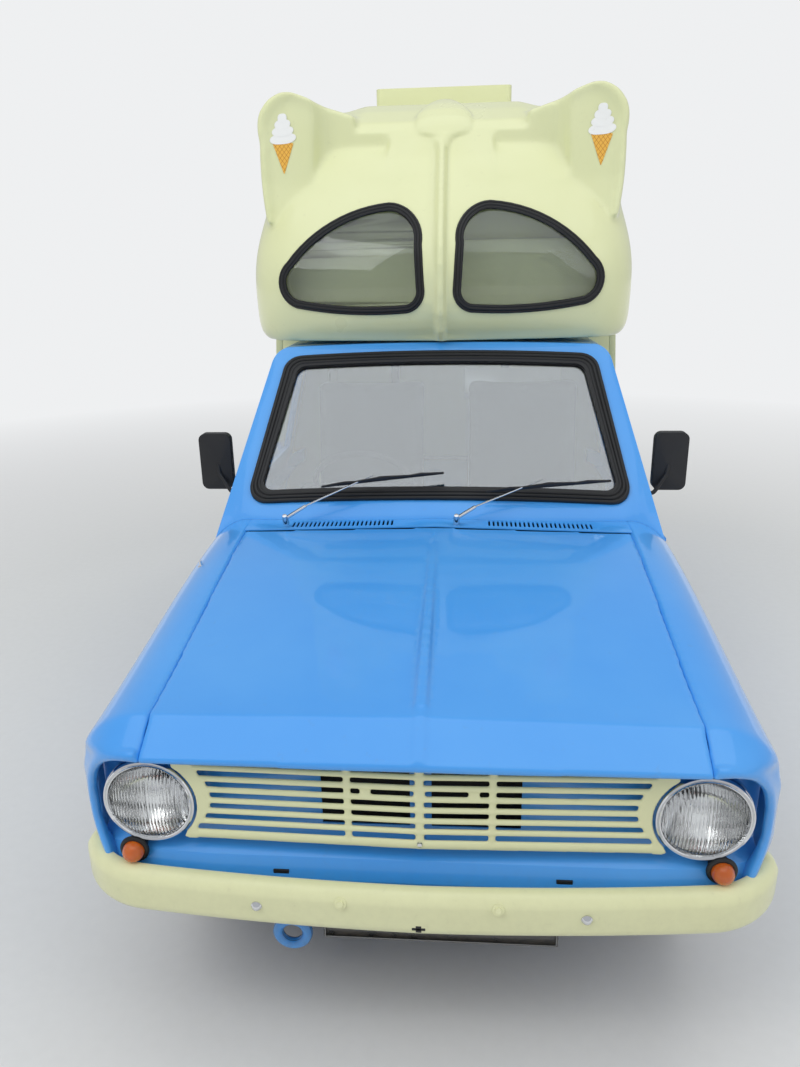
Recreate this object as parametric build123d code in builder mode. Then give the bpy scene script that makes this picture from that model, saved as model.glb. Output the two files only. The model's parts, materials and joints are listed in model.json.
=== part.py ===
"""Small ice cream van: a light van chassis and cab with a moulded selling body over it.

Millimetres. X points to the vehicle's left (the kerb and serving side), Y to the rear, Z up.
Stations are distances behind the face of the front bumper.
"""
from math import cos, radians, sin, sqrt
import os

from build123d import *

os.makedirs("parts", exist_ok=True)

# Whole vehicle
LENGTH = 3900
FRONT = -LENGTH / 2
BODY_HALF = 755
FRONT_AXLE = 700
WHEELBASE = 2324
REAR_AXLE = FRONT_AXLE + WHEELBASE
TRACK = 1220
SILL_Z = 300
SKIN = 4

# Wheels and steering
WHEEL_R = 288
TYRE_WIDTH = 155
RIM_R = 165
RIM_WIDTH = 114
ARCH_R = 335
KINGPIN_X = 555
KINGPIN_R = 16
DRUM_R = 100
STUB_R = 18
STUB_END = 646.5
PIN_CLEARANCE = 0.4
RAIL_X = 310
RAIL_WIDTH = 60

# Openings and doors
SHUT_GAP = 6
BONNET_FRONT_X = 575
BONNET_REAR_X = 597
BONNET_REAR = 1050
SCUTTLE_FRONT = 1060
DOOR_FRONT = 1240
DOOR_REAR = 2148
DOOR_BOTTOM = 345
DOOR_THICK = 40
CAB_REAR = 2200

# Windscreen: corner of its centre line, rake from the horizontal and bow
SCREEN_STATION = 1168
SCREEN_Z = 994.5
SCREEN_RAKE = 48
SCREEN_BOW_R = 5300
SCREEN_BOTTOM_HALF = 626
SCREEN_TOP_HALF = 539
SCREEN_HEIGHT = 571
SEAL = 45

# Rear body
BODY_REAR = 3850
BODY_WALL = 28
BODY_FLOOR_Z = 490
BELT_Z = 960
ROOF_Z = 2266
REAR_DOOR_HALF = 330
REAR_DOOR_TOP = 1950
ROOF_BOX_TOP = 2360


def y_at(station):
    """Y of a station behind the front bumper's face."""
    return FRONT + station


def keep(piece, name):
    """Label a finished piece and write its file."""
    piece.part.label = name
    export_step(piece.part, f"parts/{name}.step")


def block(x, y, z):
    """Plain block between low and high values along each axis."""
    with BuildPart() as solid:
        with BuildSketch(Plane.XY.offset(z[0])):
            with Locations(((x[0] + x[1]) / 2, (y[0] + y[1]) / 2)):
                Rectangle(x[1] - x[0], y[1] - y[0])
        extrude(amount=z[1] - z[0])
    return solid.part


def side_prism(points, x):
    """Outline of (station, z) points seen from the side, run between two X values."""
    with BuildPart() as solid:
        with BuildSketch(Plane.YZ.offset(x[0])):
            with BuildLine():
                Polyline(*[(y_at(station), z) for station, z in points], close=True)
            make_face()
        extrude(amount=x[1] - x[0])
    return solid.part


def tube_x(station, z, radius, x):
    """Round bar along X between two X values."""
    with BuildPart() as solid:
        with BuildSketch(Plane.YZ.offset(x[0])):
            with Locations((y_at(station), z)):
                Circle(radius)
        extrude(amount=x[1] - x[0])
    return solid.part


# Cross-sections of the lower body: station, height at the bonnet's edge, height at the centre
NOSE_ROWS = [(46, 768, 774), (142, 823, 829)]
WING_ROWS = [(142, 823, 829), (600, 879, 889), (1055, 930, 942), (1290, 936, 952)]
CAB_ROWS = [(1290, 936, 952), (CAB_REAR, 936, 952)]


def body_section(station, edge_z, centre_z, inset):
    """Bonnet, shoulder and side in one closed outline at a station."""
    side = BODY_HALF - inset
    shoulder_z = edge_z - inset - 155
    with BuildSketch(Plane.XZ.offset(-y_at(station))) as section:
        with BuildLine():
            Line((0, SILL_Z), (side - 30, SILL_Z))
            ThreePointArc((side - 30, SILL_Z), (side, 600), (side - 4, shoulder_z))
            TangentArc((side - 4, shoulder_z), (598 - inset, edge_z - inset - 4), tangent=(0, 1))
            Line((598 - inset, edge_z - inset - 4), (0, centre_z - inset))
            mirror(about=Plane.YZ)
        make_face()
    return section.sketch


def body_form(inset=0):
    """Bonnet, wings and cab sides below the glass, as one closed form."""
    with BuildPart() as form:
        for rows in (NOSE_ROWS, WING_ROWS, CAB_ROWS):
            loft([body_section(*row, inset) for row in rows])
        # Plan of the nose: nearly straight lip, corners swept back to the sides
        with BuildSketch(Plane.XY.offset(SILL_Z)):
            with BuildLine():
                Line((0, y_at(46)), (560, y_at(54)))
                ThreePointArc((560, y_at(54)), (712, y_at(122)), (BODY_HALF + 2, y_at(240)))
                Line((BODY_HALF + 2, y_at(240)), (BODY_HALF + 2, y_at(CAB_REAR + 10)))
                Line((BODY_HALF + 2, y_at(CAB_REAR + 10)), (0, y_at(CAB_REAR + 10)))
                mirror(about=Plane.YZ)
            make_face()
        extrude(amount=700, mode=Mode.INTERSECT)
    return form.part


def glasshouse_section(inset):
    """Cab above the belt: leaning sides, tight roof corners and a slightly crowned roof."""
    with BuildSketch(Plane.XZ.offset(-y_at(1120))) as section:
        with BuildLine():
            Line((0, 860), (720 - inset, 860))
            Line((720 - inset, 860), (594 - inset, 1385))
            TangentArc((594 - inset, 1385), (540 - inset, 1434 - inset), tangent=(-0.24, 1))
            ThreePointArc((540 - inset, 1434 - inset), (280, 1444 - inset), (0, 1448 - inset))
            mirror(about=Plane.YZ)
        make_face()
    return section.sketch


SCREEN_ORIGIN = (0, y_at(SCREEN_STATION), SCREEN_Z)
SCREEN_NORMAL = (0, -sin(radians(SCREEN_RAKE)), cos(radians(SCREEN_RAKE)))
SCREEN_UP = (0, cos(radians(SCREEN_RAKE)), sin(radians(SCREEN_RAKE)))
SCREEN_FACE = Plane(SCREEN_ORIGIN, x_dir=(1, 0, 0), z_dir=SCREEN_NORMAL)
SCREEN_SECTION = Plane(SCREEN_ORIGIN, x_dir=(1, 0, 0), z_dir=SCREEN_UP)


def screen_sheet(lift, thickness):
    """Bowed sheet along the windscreen; its outer face stands lift proud of the glass."""
    half = 760
    sag = SCREEN_BOW_R - sqrt(SCREEN_BOW_R**2 - half**2)
    with BuildPart() as sheet:
        with BuildSketch(SCREEN_SECTION):
            with BuildLine():
                ThreePointArc((-half, sag - lift), (0, -lift), (half, sag - lift))
                Line((half, sag - lift), (half, sag - lift + thickness))
                ThreePointArc(
                    (half, sag - lift + thickness), (0, thickness - lift), (-half, sag - lift + thickness)
                )
                Line((-half, sag - lift + thickness), (-half, sag - lift))
            make_face()
        extrude(amount=800, both=True)
    return sheet.part


def screen_outline(inset, corner):
    """Windscreen outline, inset from the outer edge of its seal, as a prism through the glass."""
    low = SCREEN_BOTTOM_HALF - inset
    high = SCREEN_TOP_HALF - inset
    with BuildPart() as prism:
        with BuildSketch(SCREEN_FACE) as outline:
            with BuildLine():
                Polyline(
                    (-low, inset), (low, inset),
                    (high, SCREEN_HEIGHT - inset), (-high, SCREEN_HEIGHT - inset), close=True,
                )
            make_face()
            fillet(outline.vertices(), corner)
        extrude(amount=120, both=True)
    return prism.part


OUTER_BODY = body_form()
INNER_BODY = body_form(SKIN)

with BuildPart() as glasshouse_outer:
    extrude(glasshouse_section(0), amount=-(CAB_REAR - 1120))
    add(screen_sheet(600, 600), mode=Mode.SUBTRACT)
with BuildPart() as glasshouse_inner:
    extrude(glasshouse_section(30), amount=-(CAB_REAR - 1120 + 10))
    add(screen_sheet(600, 632), mode=Mode.SUBTRACT)

# Side outlines of the door: its leaf, and its window
DOOR_OUTLINE = [
    (DOOR_FRONT, DOOR_BOTTOM), (DOOR_FRONT, 935), (1632, 1395), (DOOR_REAR, 1395), (DOOR_REAR, DOOR_BOTTOM),
]
DOOR_WINDOW = [(1345, 965), (1655, 1345), (2095, 1345), (2095, 965)]


def grown(points, gap):
    """Door outline moved outwards by a gap all round."""
    front, rear = points[0][0] - gap, points[-1][0] + gap
    low, high = points[0][1] - gap, points[2][1] + gap
    return [(front, low), (front, points[1][1]), (points[2][0] - gap, high), (rear, high), (rear, low)]


# Bonnet: a ribbed panel from the lip to the hinge line, with a low ridge along its middle
BONNET_LIP_Z = 756
RIDGE_HALF = 16
RIDGE_ROWS = [(165, 834), (400, 868), (800, 915), (1010, 936)]
with BuildPart() as bonnet_region:
    with BuildSketch(Plane.XY.offset(SILL_Z)):
        with BuildLine():
            Line((0, y_at(0)), (BONNET_FRONT_X - 3, y_at(0)))
            Line((BONNET_FRONT_X - 3, y_at(0)), (BONNET_REAR_X - 3, y_at(BONNET_REAR)))
            Line((BONNET_REAR_X - 3, y_at(BONNET_REAR)), (0, y_at(BONNET_REAR)))
            mirror(about=Plane.YZ)
        make_face()
    extrude(amount=800)

with BuildPart() as bonnet:
    add(OUTER_BODY)
    add(body_form(18), mode=Mode.SUBTRACT)
    add(bonnet_region.part, mode=Mode.INTERSECT)
    add(block((-700, 700), (FRONT, 0), (SILL_Z - 10, BONNET_LIP_Z)), mode=Mode.SUBTRACT)
    ridge_sections = []
    for station, crest_z in RIDGE_ROWS:
        with BuildSketch(Plane.XZ.offset(-y_at(station)), mode=Mode.PRIVATE) as crest:
            with BuildLine():
                Polyline((-RIDGE_HALF, crest_z - 8), (0, crest_z + 5), (RIDGE_HALF, crest_z - 8), close=True)
            make_face()
        ridge_sections.append(crest.sketch)
    loft(ridge_sections, ruled=True)
keep(bonnet, "bonnet")

# Front wings: skin, hooded front edge round the lamp, wheel arch
with BuildPart() as lamp_opening:
    with BuildSketch(Plane.XZ.offset(-y_at(-10))):
        with BuildLine():
            Line((-10, 764), (577, 764))
            ThreePointArc((577, 764), (662, 738), (704, 668))
            ThreePointArc((704, 668), (710, 600), (686, 510))
            Line((686, 510), (640, 400))
            Line((640, 400), (-10, 400))
            Line((-10, 400), (-10, 764))
        make_face()
    extrude(amount=-320)

with BuildPart() as wing_left:
    add(OUTER_BODY)
    add(INNER_BODY, mode=Mode.SUBTRACT)
    with BuildSketch(Plane.XY.offset(SILL_Z - 1)):
        with BuildLine():
            Polyline(
                (BONNET_FRONT_X + 3, y_at(0)), (BODY_HALF + 5, y_at(0)),
                (BODY_HALF + 5, y_at(DOOR_FRONT - SHUT_GAP)),
                (BONNET_REAR_X + 3, y_at(DOOR_FRONT - SHUT_GAP)),
                (BONNET_REAR_X + 3, y_at(BONNET_REAR)), close=True,
            )
        make_face()
    extrude(amount=800, mode=Mode.INTERSECT)
    add(lamp_opening.part, mode=Mode.SUBTRACT)
    add(tube_x(FRONT_AXLE, WHEEL_R, ARCH_R, (600, 800)), mode=Mode.SUBTRACT)
    add(block((500, 800), (FRONT, y_at(FRONT_AXLE)), (SILL_Z - 5, 385)), mode=Mode.SUBTRACT)
with BuildPart() as front_wings:
    add(wing_left.part)
    mirror(about=Plane.YZ)
keep(front_wings, "front_wings")

# Scuttle between bonnet and windscreen, with two rows of air slots
VENT_COUNT = 24
VENT_PITCH = 13.6
with BuildPart() as scuttle:
    add(OUTER_BODY)
    add(INNER_BODY, mode=Mode.SUBTRACT)
    with BuildSketch(Plane.XY.offset(800)):
        with Locations((0, y_at((SCUTTLE_FRONT + 1222) / 2))):
            Rectangle(2 * BONNET_REAR_X + 4, 1222 - SCUTTLE_FRONT)
    extrude(amount=300, mode=Mode.INTERSECT)
    with BuildSketch(Plane.XY.offset(880)):
        for centre in (-292, 324):
            with Locations((centre, y_at(1098))):
                with GridLocations(VENT_PITCH, 1, VENT_COUNT, 1):
                    SlotOverall(44, 6, rotation=90)
    extrude(amount=100, mode=Mode.SUBTRACT)
keep(scuttle, "scuttle")

# Inner wings: wheel houses round the tyres and the walls of the engine bay
with BuildPart() as inner_wing:
    with BuildSketch(Plane.YZ.offset(352)):
        with BuildLine():
            Polyline(
                (y_at(170), 420), (y_at(170), 730), (y_at(1100), 830), (y_at(1100), 420), close=True,
            )
        make_face()
    extrude(amount=4)
    add(tube_x(FRONT_AXLE, WHEEL_R, ARCH_R + 8, (352, 742)))
    add(tube_x(FRONT_AXLE, WHEEL_R, ARCH_R + 4, (356, 800)), mode=Mode.SUBTRACT)
    add(tube_x(FRONT_AXLE, WHEEL_R, 172, (340, 360)), mode=Mode.SUBTRACT)
    add(block((300, 800), (FRONT, 0), (0, 385)), mode=Mode.SUBTRACT)
    add(body_form(SKIN + 1), mode=Mode.INTERSECT)
with BuildPart() as inner_wings:
    add(inner_wing.part)
    mirror(about=Plane.YZ)
    # Bulkhead behind the engine, from the floor to the scuttle
    with BuildPart(mode=Mode.PRIVATE) as bulkhead:
        add(block((-735, 735), (y_at(1100), y_at(1104)), (421, 900)))
        add(body_form(SKIN + 1), mode=Mode.INTERSECT)
    add(bulkhead.part)
keep(inner_wings, "inner_wings")

# Nose panel: recessed lamp panel, valance and roll-under, swept back at the corners
NOSE_PROFILE = [(134, 764), (134, 532), (90, 512), (70, 470), (84, 372)]
NOSE_ROWS_X = [(-712, 46), (-610, 10), (-450, 0), (450, 0), (610, 10), (712, 46)]
LAMP_X = 578
LAMP_Z = 637
with BuildPart() as nose_panel:
    sections = []
    for x, back in NOSE_ROWS_X:
        with BuildSketch(Plane.YZ.offset(x), mode=Mode.PRIVATE) as profile:
            with BuildLine():
                Polyline(
                    *[(y_at(s + back), z) for s, z in NOSE_PROFILE],
                    *[(y_at(s + back + SKIN), z) for s, z in reversed(NOSE_PROFILE)], close=True,
                )
            make_face()
        sections.append(profile.sketch)
    loft(sections, ruled=True)
    add(body_form(SKIN + 1), mode=Mode.INTERSECT)
    # Round holes for the lamps, and the radiator opening either side of an upright
    with BuildSketch(Plane.XZ.offset(-y_at(0))):
        with Locations((LAMP_X, LAMP_Z), (-LAMP_X, LAMP_Z)):
            Circle(94)
        with Locations((-118, 655), (118, 655)):
            Rectangle(190, 176)
        with Locations((-300, 430), (300, 430)):
            Rectangle(70, 26)
    extrude(amount=-260, mode=Mode.SUBTRACT)
keep(nose_panel, "nose_panel")

# Grille: eight bars on webs, bent at the centre and stepped round the lamps
GRILLE_TOP = 752
GRILLE_BOTTOM = 538
GRILLE_PITCH = 26.5
GRILLE_SLOT = 10
GRILLE_HALF = 505
GRILLE_SWEEP = 1.5
SLOT_ENDS = (482, 470, 452, 445, 447, 459, 480)
GRILLE_PLANE = Plane((0, y_at(84), 0), x_dir=(cos(radians(GRILLE_SWEEP)), sin(radians(GRILLE_SWEEP)), 0),
                     z_dir=(sin(radians(GRILLE_SWEEP)), -cos(radians(GRILLE_SWEEP)), 0))
with BuildPart() as grille_half:
    with BuildSketch(GRILLE_PLANE):
        with BuildLine():
            Polyline((0, GRILLE_BOTTOM), (GRILLE_HALF - 8, 543), (GRILLE_HALF + 6, 552),
                     (GRILLE_HALF + 6, 600), (GRILLE_HALF + 17, 640), (GRILLE_HALF + 17, GRILLE_TOP),
                     (0, GRILLE_TOP), close=True)
        make_face()
        for row, end in enumerate(SLOT_ENDS):
            for low, high in ((14, 142), (158, end)):
                with Locations(((low + high) / 2, GRILLE_TOP - 14 - row * GRILLE_PITCH)):
                    SlotOverall(high - low, GRILLE_SLOT, mode=Mode.SUBTRACT)
    extrude(amount=-3)
    # Bars swell forward between the slots
    with BuildSketch(Plane(GRILLE_PLANE.origin, x_dir=-GRILLE_PLANE.z_dir, z_dir=GRILLE_PLANE.x_dir)):
        for row in range(len(SLOT_ENDS)):
            with Locations((0, GRILLE_TOP - 14 - (row + 0.5) * GRILLE_PITCH)):
                Ellipse(7, 6.5)
        Rectangle(40, 2000, align=(Align.MIN, Align.CENTER), mode=Mode.SUBTRACT)
    extrude(amount=430)
with BuildPart() as grille:
    add(grille_half.part)
    split(bisect_by=Plane.YZ)
    with BuildSketch(Plane.XZ.offset(-y_at(0))):
        with Locations((LAMP_X, LAMP_Z)):
            Circle(104)
    extrude(amount=-200, mode=Mode.SUBTRACT)
    mirror(about=Plane.YZ)
keep(grille, "grille")

# Front bumper: a pressed blade with rolled edges, wrapped round the corners
BUMPER_TOP = 498
BUMPER_BOTTOM = 390
BUMPER_DEPTH = 30
BUMPER_ROLL = 26
BUMPER_END = 205
BUMPER_GAP = 4
with BuildSketch(Plane.XY.offset(BUMPER_BOTTOM)) as bumper_plan:
    with BuildLine():
        face = ThreePointArc((0, y_at(0)), (300, y_at(10)), (600, y_at(34)))
        wrap = TangentArc(face @ 1, (762, y_at(150)), tangent=face % 1)
        Line(wrap @ 1, (765, y_at(BUMPER_END)))
        Line((765, y_at(BUMPER_END)), (0, y_at(BUMPER_END)))
        mirror(about=Plane.YZ)
    make_face()


def bumper_solid(inset, low, high):
    """Bumper plan, inset from the face, between two heights."""
    with BuildPart() as solid:
        with BuildSketch(Plane.XY.offset(low)):
            add(bumper_plan.sketch.moved(Location((0, 0, low - BUMPER_BOTTOM))))
            offset(amount=-inset)
        extrude(amount=high - low)
    return solid.part


with BuildPart() as bumper_front:
    extrude(bumper_plan.sketch, amount=BUMPER_TOP - BUMPER_BOTTOM)
    rims = edges().filter_by(lambda e: e.bounding_box().size.Z < 0.01)
    rims = rims.filter_by(lambda e: e.bounding_box().size.Y > 1)
    fillet(rims, BUMPER_ROLL)
    add(bumper_solid(SKIN, BUMPER_BOTTOM + SKIN, BUMPER_TOP - SKIN), mode=Mode.SUBTRACT)
    add(bumper_solid(BUMPER_DEPTH, BUMPER_BOTTOM - 1, BUMPER_TOP + 1), mode=Mode.SUBTRACT)
    add(body_form(-BUMPER_GAP), mode=Mode.SUBTRACT)
    add(block((-720, 720), (y_at(BUMPER_END - 60), y_at(BUMPER_END + 5)), (380, 530)), mode=Mode.SUBTRACT)
keep(bumper_front, "bumper_front")


def turned(profile, centre, toward=-1):
    """Closed (distance forward, radius) outline turned about a line along Y through the centre."""
    with BuildPart() as solid:
        with BuildSketch(Plane(centre, x_dir=(0, toward, 0), z_dir=(1, 0, 0) if toward > 0 else (-1, 0, 0))):
            with BuildLine():
                Polyline(*profile, close=True)
            make_face()
        revolve(axis=Axis(centre, (0, 1, 0)))
    return solid.part


# Headlamps: chromed rim, domed glass and bowl, built on one side and mirrored
LAMP_R = 101
LAMP_FACE = 108
LAMP_CENTRE = (LAMP_X, y_at(LAMP_FACE), LAMP_Z)
rim_profile = [(-21, 88), (-21, 98), (4, LAMP_R), (16, 98), (22, 91), (16, 88)]
with BuildPart() as headlamps:
    add(turned(rim_profile, LAMP_CENTRE))
    with BuildSketch(Plane(LAMP_CENTRE, x_dir=(0, -1, 0), z_dir=(-1, 0, 0))):
        with BuildLine():
            TangentArc((-86, 0), (-20, 92), tangent=(0, 1))
            Line((-86, 0), (-82, 0))
            TangentArc((-82, 0), (-20, 86), tangent=(0, 1))
            Line((-20, 86), (-20, 92))
        make_face()
    revolve(axis=Axis(LAMP_CENTRE, (0, 1, 0)))
    mirror(about=Plane.YZ)
keep(headlamps, "headlamps")

with BuildPart() as headlamp_lenses:
    with BuildSketch(Plane(LAMP_CENTRE, x_dir=(0, -1, 0), z_dir=(-1, 0, 0))):
        with BuildLine():
            Line((27, 0), (31, 0))
            TangentArc((31, 0), (5, 87.5), tangent=(0, 1))
            Line((5, 87.5), (-3, 87.5))
            Line((-3, 87.5), (-3, 83.5))
            TangentArc((27, 0), (-3, 83.5), tangent=(0, 1))
        make_face()
    revolve(axis=Axis(LAMP_CENTRE, (0, 1, 0)))
    mirror(about=Plane.YZ)
keep(headlamp_lenses, "headlamp_lenses")

# Round indicators below the headlamps: rubber base and domed amber lens
INDICATOR_CENTRE = (621, y_at(96), 519)
with BuildPart() as indicator_bases:
    add(turned([(-24, 0), (-24, 19), (0, 25.5), (8, 25.5), (8, 0)], INDICATOR_CENTRE))
    add(nose_panel.part, mode=Mode.SUBTRACT)
    add(solids().sort_by(SortBy.VOLUME)[-1], mode=Mode.REPLACE)
    mirror(about=Plane.YZ)
keep(indicator_bases, "indicator_bases")
with BuildPart() as indicator_lenses:
    with BuildSketch(Plane(INDICATOR_CENTRE, x_dir=(0, -1, 0), z_dir=(-1, 0, 0))):
        with BuildLine():
            Line((8, 0), (8, 24))
            Line((8, 24), (20, 23))
            TangentArc((40, 0), (20, 23), tangent=(0, 1))
            Line((40, 0), (8, 0))
        make_face()
    revolve(axis=Axis(INDICATOR_CENTRE, (0, 1, 0)))
    mirror(about=Plane.YZ)
keep(indicator_lenses, "indicator_lenses")

# Cab above the belt: one wall, cut by the doors and the windscreen, then split
glasshouse_length = CAB_REAR - 1120
cab_wall_cut = [side_prism(grown(DOOR_OUTLINE, SHUT_GAP), (x, x + 500)) for x in (400, -900)]
with BuildPart() as cab_wall:
    extrude(glasshouse_section(0), amount=-glasshouse_length)
    add(screen_sheet(600, 600), mode=Mode.SUBTRACT)
    add(glasshouse_inner.part, mode=Mode.SUBTRACT)
    add(OUTER_BODY, mode=Mode.SUBTRACT)
    add(screen_outline(0, 60), mode=Mode.SUBTRACT)
    for cut in cab_wall_cut:
        add(cut, mode=Mode.SUBTRACT)

FRAME_SPLIT = [(1000, 800), (1234, 800), (1234, 935), (1690, 1460), (1000, 1460)]
with BuildPart() as windscreen_frame:
    add(cab_wall.part)
    add(side_prism(FRAME_SPLIT, (-800, 800)), mode=Mode.INTERSECT)
keep(windscreen_frame, "windscreen_frame")

# Posts behind the doors, from sill to belt, in one with the roof
with BuildPart() as door_posts:
    add(OUTER_BODY)
    add(body_form(DOOR_THICK), mode=Mode.SUBTRACT)
    add(block((620, 800), (y_at(DOOR_REAR + 8), y_at(CAB_REAR)), (340, 1000)), mode=Mode.INTERSECT)
    mirror(about=Plane.YZ)
with BuildPart() as cab_shell:
    add(cab_wall.part)
    add(side_prism(FRAME_SPLIT, (-800, 800)), mode=Mode.SUBTRACT)
    add(door_posts.part)
keep(cab_shell, "cab_shell")

with BuildPart() as windscreen:
    add(screen_sheet(-4, 5))
    add(screen_outline(34, 45), mode=Mode.INTERSECT)
keep(windscreen, "windscreen")

with BuildPart() as screen_seal:
    add(screen_sheet(8, 24))
    add(screen_outline(0.2, 60), mode=Mode.INTERSECT)
    add(screen_outline(SEAL, 38), mode=Mode.SUBTRACT)
    add(windscreen.part, mode=Mode.SUBTRACT)

# Cab doors: whole thickness, window cut, glass let into the frame
with BuildPart() as door_inner:
    add(body_form(DOOR_THICK))
    extrude(glasshouse_section(30), amount=-glasshouse_length)
with BuildPart() as door_outer:
    add(OUTER_BODY)
    extrude(glasshouse_section(0), amount=-glasshouse_length)
door_leaf_cut = side_prism(DOOR_OUTLINE, (560, 800))
window_cut = side_prism(DOOR_WINDOW, (400, 800))
with BuildPart() as door_left:
    add(door_outer.part)
    add(door_inner.part, mode=Mode.SUBTRACT)
    add(door_leaf_cut, mode=Mode.INTERSECT)
    add(window_cut, mode=Mode.SUBTRACT)
with BuildPart() as door_right:
    add(door_left.part)
    mirror(about=Plane.YZ, mode=Mode.REPLACE)
keep(door_left, "door_left")
keep(door_right, "door_right")
with BuildPart() as door_glass_left:
    extrude(glasshouse_section(12), amount=-glasshouse_length)
    extrude(glasshouse_section(17), amount=-glasshouse_length, mode=Mode.SUBTRACT)
    add(window_cut, mode=Mode.INTERSECT)
with BuildPart() as door_glass_right:
    add(door_glass_left.part)
    mirror(about=Plane.YZ, mode=Mode.REPLACE)
keep(door_glass_left, "door_glass_left")
keep(door_glass_right, "door_glass_right")

# Door mirrors: bent arm from the belt and a rounded head
MIRROR_X = 790
MIRROR_Z = 1055
with BuildPart() as mirror_left:
    with BuildLine() as arm_path:
        FilletPolyline((690, y_at(1400), 945), (735, y_at(1405), 955),
                       (778, y_at(1432), 1010), (785, y_at(1440), 1045),
                       radius=20)
    with BuildSketch(Plane(arm_path.line @ 0, z_dir=arm_path.line % 0)):
        Circle(7)
    sweep(path=arm_path.line)
    with BuildSketch(Plane.XZ.offset(-y_at(1436))):
        with Locations((MIRROR_X, MIRROR_Z)):
            RectangleRounded(112, 200, 24)
    extrude(amount=-34)
    add(door_left.part, mode=Mode.SUBTRACT)
with BuildPart() as mirror_right:
    add(mirror_left.part)
    mirror(about=Plane.YZ, mode=Mode.REPLACE)
keep(mirror_left, "mirror_left")
keep(mirror_right, "mirror_right")


# Rear body: cross-section with leaning sides and crowned roof
def rear_section(inset):
    """Selling body in cross-section, inset from its outer face."""
    side = BODY_HALF - inset
    with BuildSketch(Plane.XZ.offset(-y_at(CAB_REAR))) as section:
        with BuildLine():
            Line((0, 330), (side - 20, 330))
            ThreePointArc((side - 20, 330), (side - 3, 640), (side - 7, BELT_Z))
            Line((side - 7, BELT_Z), (680 - inset, 2010))
            TangentArc((680 - inset, 2010), (520, 2216 - inset), tangent=(-0.065, 1))
            ThreePointArc((520, 2216 - inset), (260, 2253 - inset), (0, ROOF_Z - inset))
            mirror(about=Plane.YZ)
        make_face()
    return section.sketch


BODY_LENGTH = BODY_REAR - CAB_REAR
BODY_FRONT = CAB_REAR + 2
with BuildPart() as body_solid:
    extrude(rear_section(0), amount=-BODY_LENGTH)
    add(block((-800, 800), (y_at(BODY_FRONT), y_at(BODY_REAR)), (0, 2300)), mode=Mode.INTERSECT)
with BuildPart() as body_space:
    extrude(rear_section(BODY_WALL), amount=-BODY_LENGTH)
with BuildPart() as body_shell:
    add(body_solid.part)
    add(body_space.part, mode=Mode.SUBTRACT)

with BuildPart() as skirt_left:
    add(body_shell.part)
    add(block((500, 800), (FRONT, 2000), (300, BELT_Z - 1)), mode=Mode.INTERSECT)
    add(tube_x(REAR_AXLE, WHEEL_R, ARCH_R, (500, 800)), mode=Mode.SUBTRACT)
with BuildPart() as skirts:
    add(skirt_left.part)
    mirror(about=Plane.YZ)
keep(skirts, "skirts")

ROOF_SPLIT_X = 518
HATCH = [(2440, 1180), (2440, 1830), (3330, 1830), (3330, 1180)]
FRAME_PROUD = 9
SHELF_X = 826
SHELF_Z = 1172
SIDE_WINDOW = [(2520, 1280), (2520, 1760), (3250, 1760), (3250, 1280)]
hatch_cut = side_prism(HATCH, (500, 800))
side_window_cut = side_prism(SIDE_WINDOW, (-800, -500))
with BuildPart() as body_side_left:
    add(body_shell.part)
    add(block((ROOF_SPLIT_X, 800), (FRONT, 2000), (BELT_Z, 2300)), mode=Mode.INTERSECT)
    # Raised frame round the serving hatch, and a shelf below it on two brackets
    with BuildPart(mode=Mode.PRIVATE) as hatch_frame:
        extrude(rear_section(-FRAME_PROUD), amount=-BODY_LENGTH)
        extrude(rear_section(0), amount=-BODY_LENGTH, mode=Mode.SUBTRACT)
        frame_sides = [(HATCH[0][0] - 32, HATCH[0][1] - 32), (HATCH[1][0] - 32, HATCH[1][1] + 32),
                       (HATCH[2][0] + 32, HATCH[2][1] + 32), (HATCH[3][0] + 32, HATCH[3][1] - 32)]
        add(side_prism(frame_sides, (600, 800)), mode=Mode.INTERSECT)
    add(hatch_frame.part)
    add(block((722, SHELF_X), (y_at(HATCH[0][0]), y_at(HATCH[2][0])), (SHELF_Z - 16, SHELF_Z)))
    for station in (HATCH[0][0] + 120, HATCH[2][0] - 140):
        with BuildSketch(Plane.XZ.offset(-y_at(station))):
            with BuildLine():
                Polyline((722, SHELF_Z - 8), (SHELF_X - 10, SHELF_Z - 8),
                         (SHELF_X - 10, SHELF_Z - 28), (730, SHELF_Z - 120),
                         (722, SHELF_Z - 120), close=True)
            make_face()
        extrude(amount=-20)
    add(hatch_cut, mode=Mode.SUBTRACT)
keep(body_side_left, "body_side_left")
with BuildPart() as body_side_right:
    add(body_shell.part)
    add(block((-800, -ROOF_SPLIT_X), (FRONT, 2000), (BELT_Z, 2300)), mode=Mode.INTERSECT)
    add(side_window_cut, mode=Mode.SUBTRACT)
keep(body_side_right, "body_side_right")

with BuildPart() as body_roof:
    add(body_shell.part)
    add(block((-ROOF_SPLIT_X, ROOF_SPLIT_X), (FRONT, 2000), (2100, 2300)), mode=Mode.INTERSECT)
    with BuildSketch(Plane.XY.offset(ROOF_Z - 20)):
        with Locations((0, y_at(2500))):
            RectangleRounded(530, 520, 20)
    extrude(amount=ROOF_BOX_TOP - ROOF_Z + 20)
keep(body_roof, "body_roof")

# Front wall over the cab, open to the cab below and to the pod above
with BuildPart() as body_front:
    add(body_space.part)
    add(block((-800, 800), (y_at(BODY_FRONT), y_at(BODY_FRONT + BODY_WALL)), (331, 2300)),
        mode=Mode.INTERSECT)
    add(block((-500, 500), (FRONT, 2000), (300, 1400)), mode=Mode.SUBTRACT)
    add(block((-500, 500), (FRONT, 2000), (1480, 2050)), mode=Mode.SUBTRACT)

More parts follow.
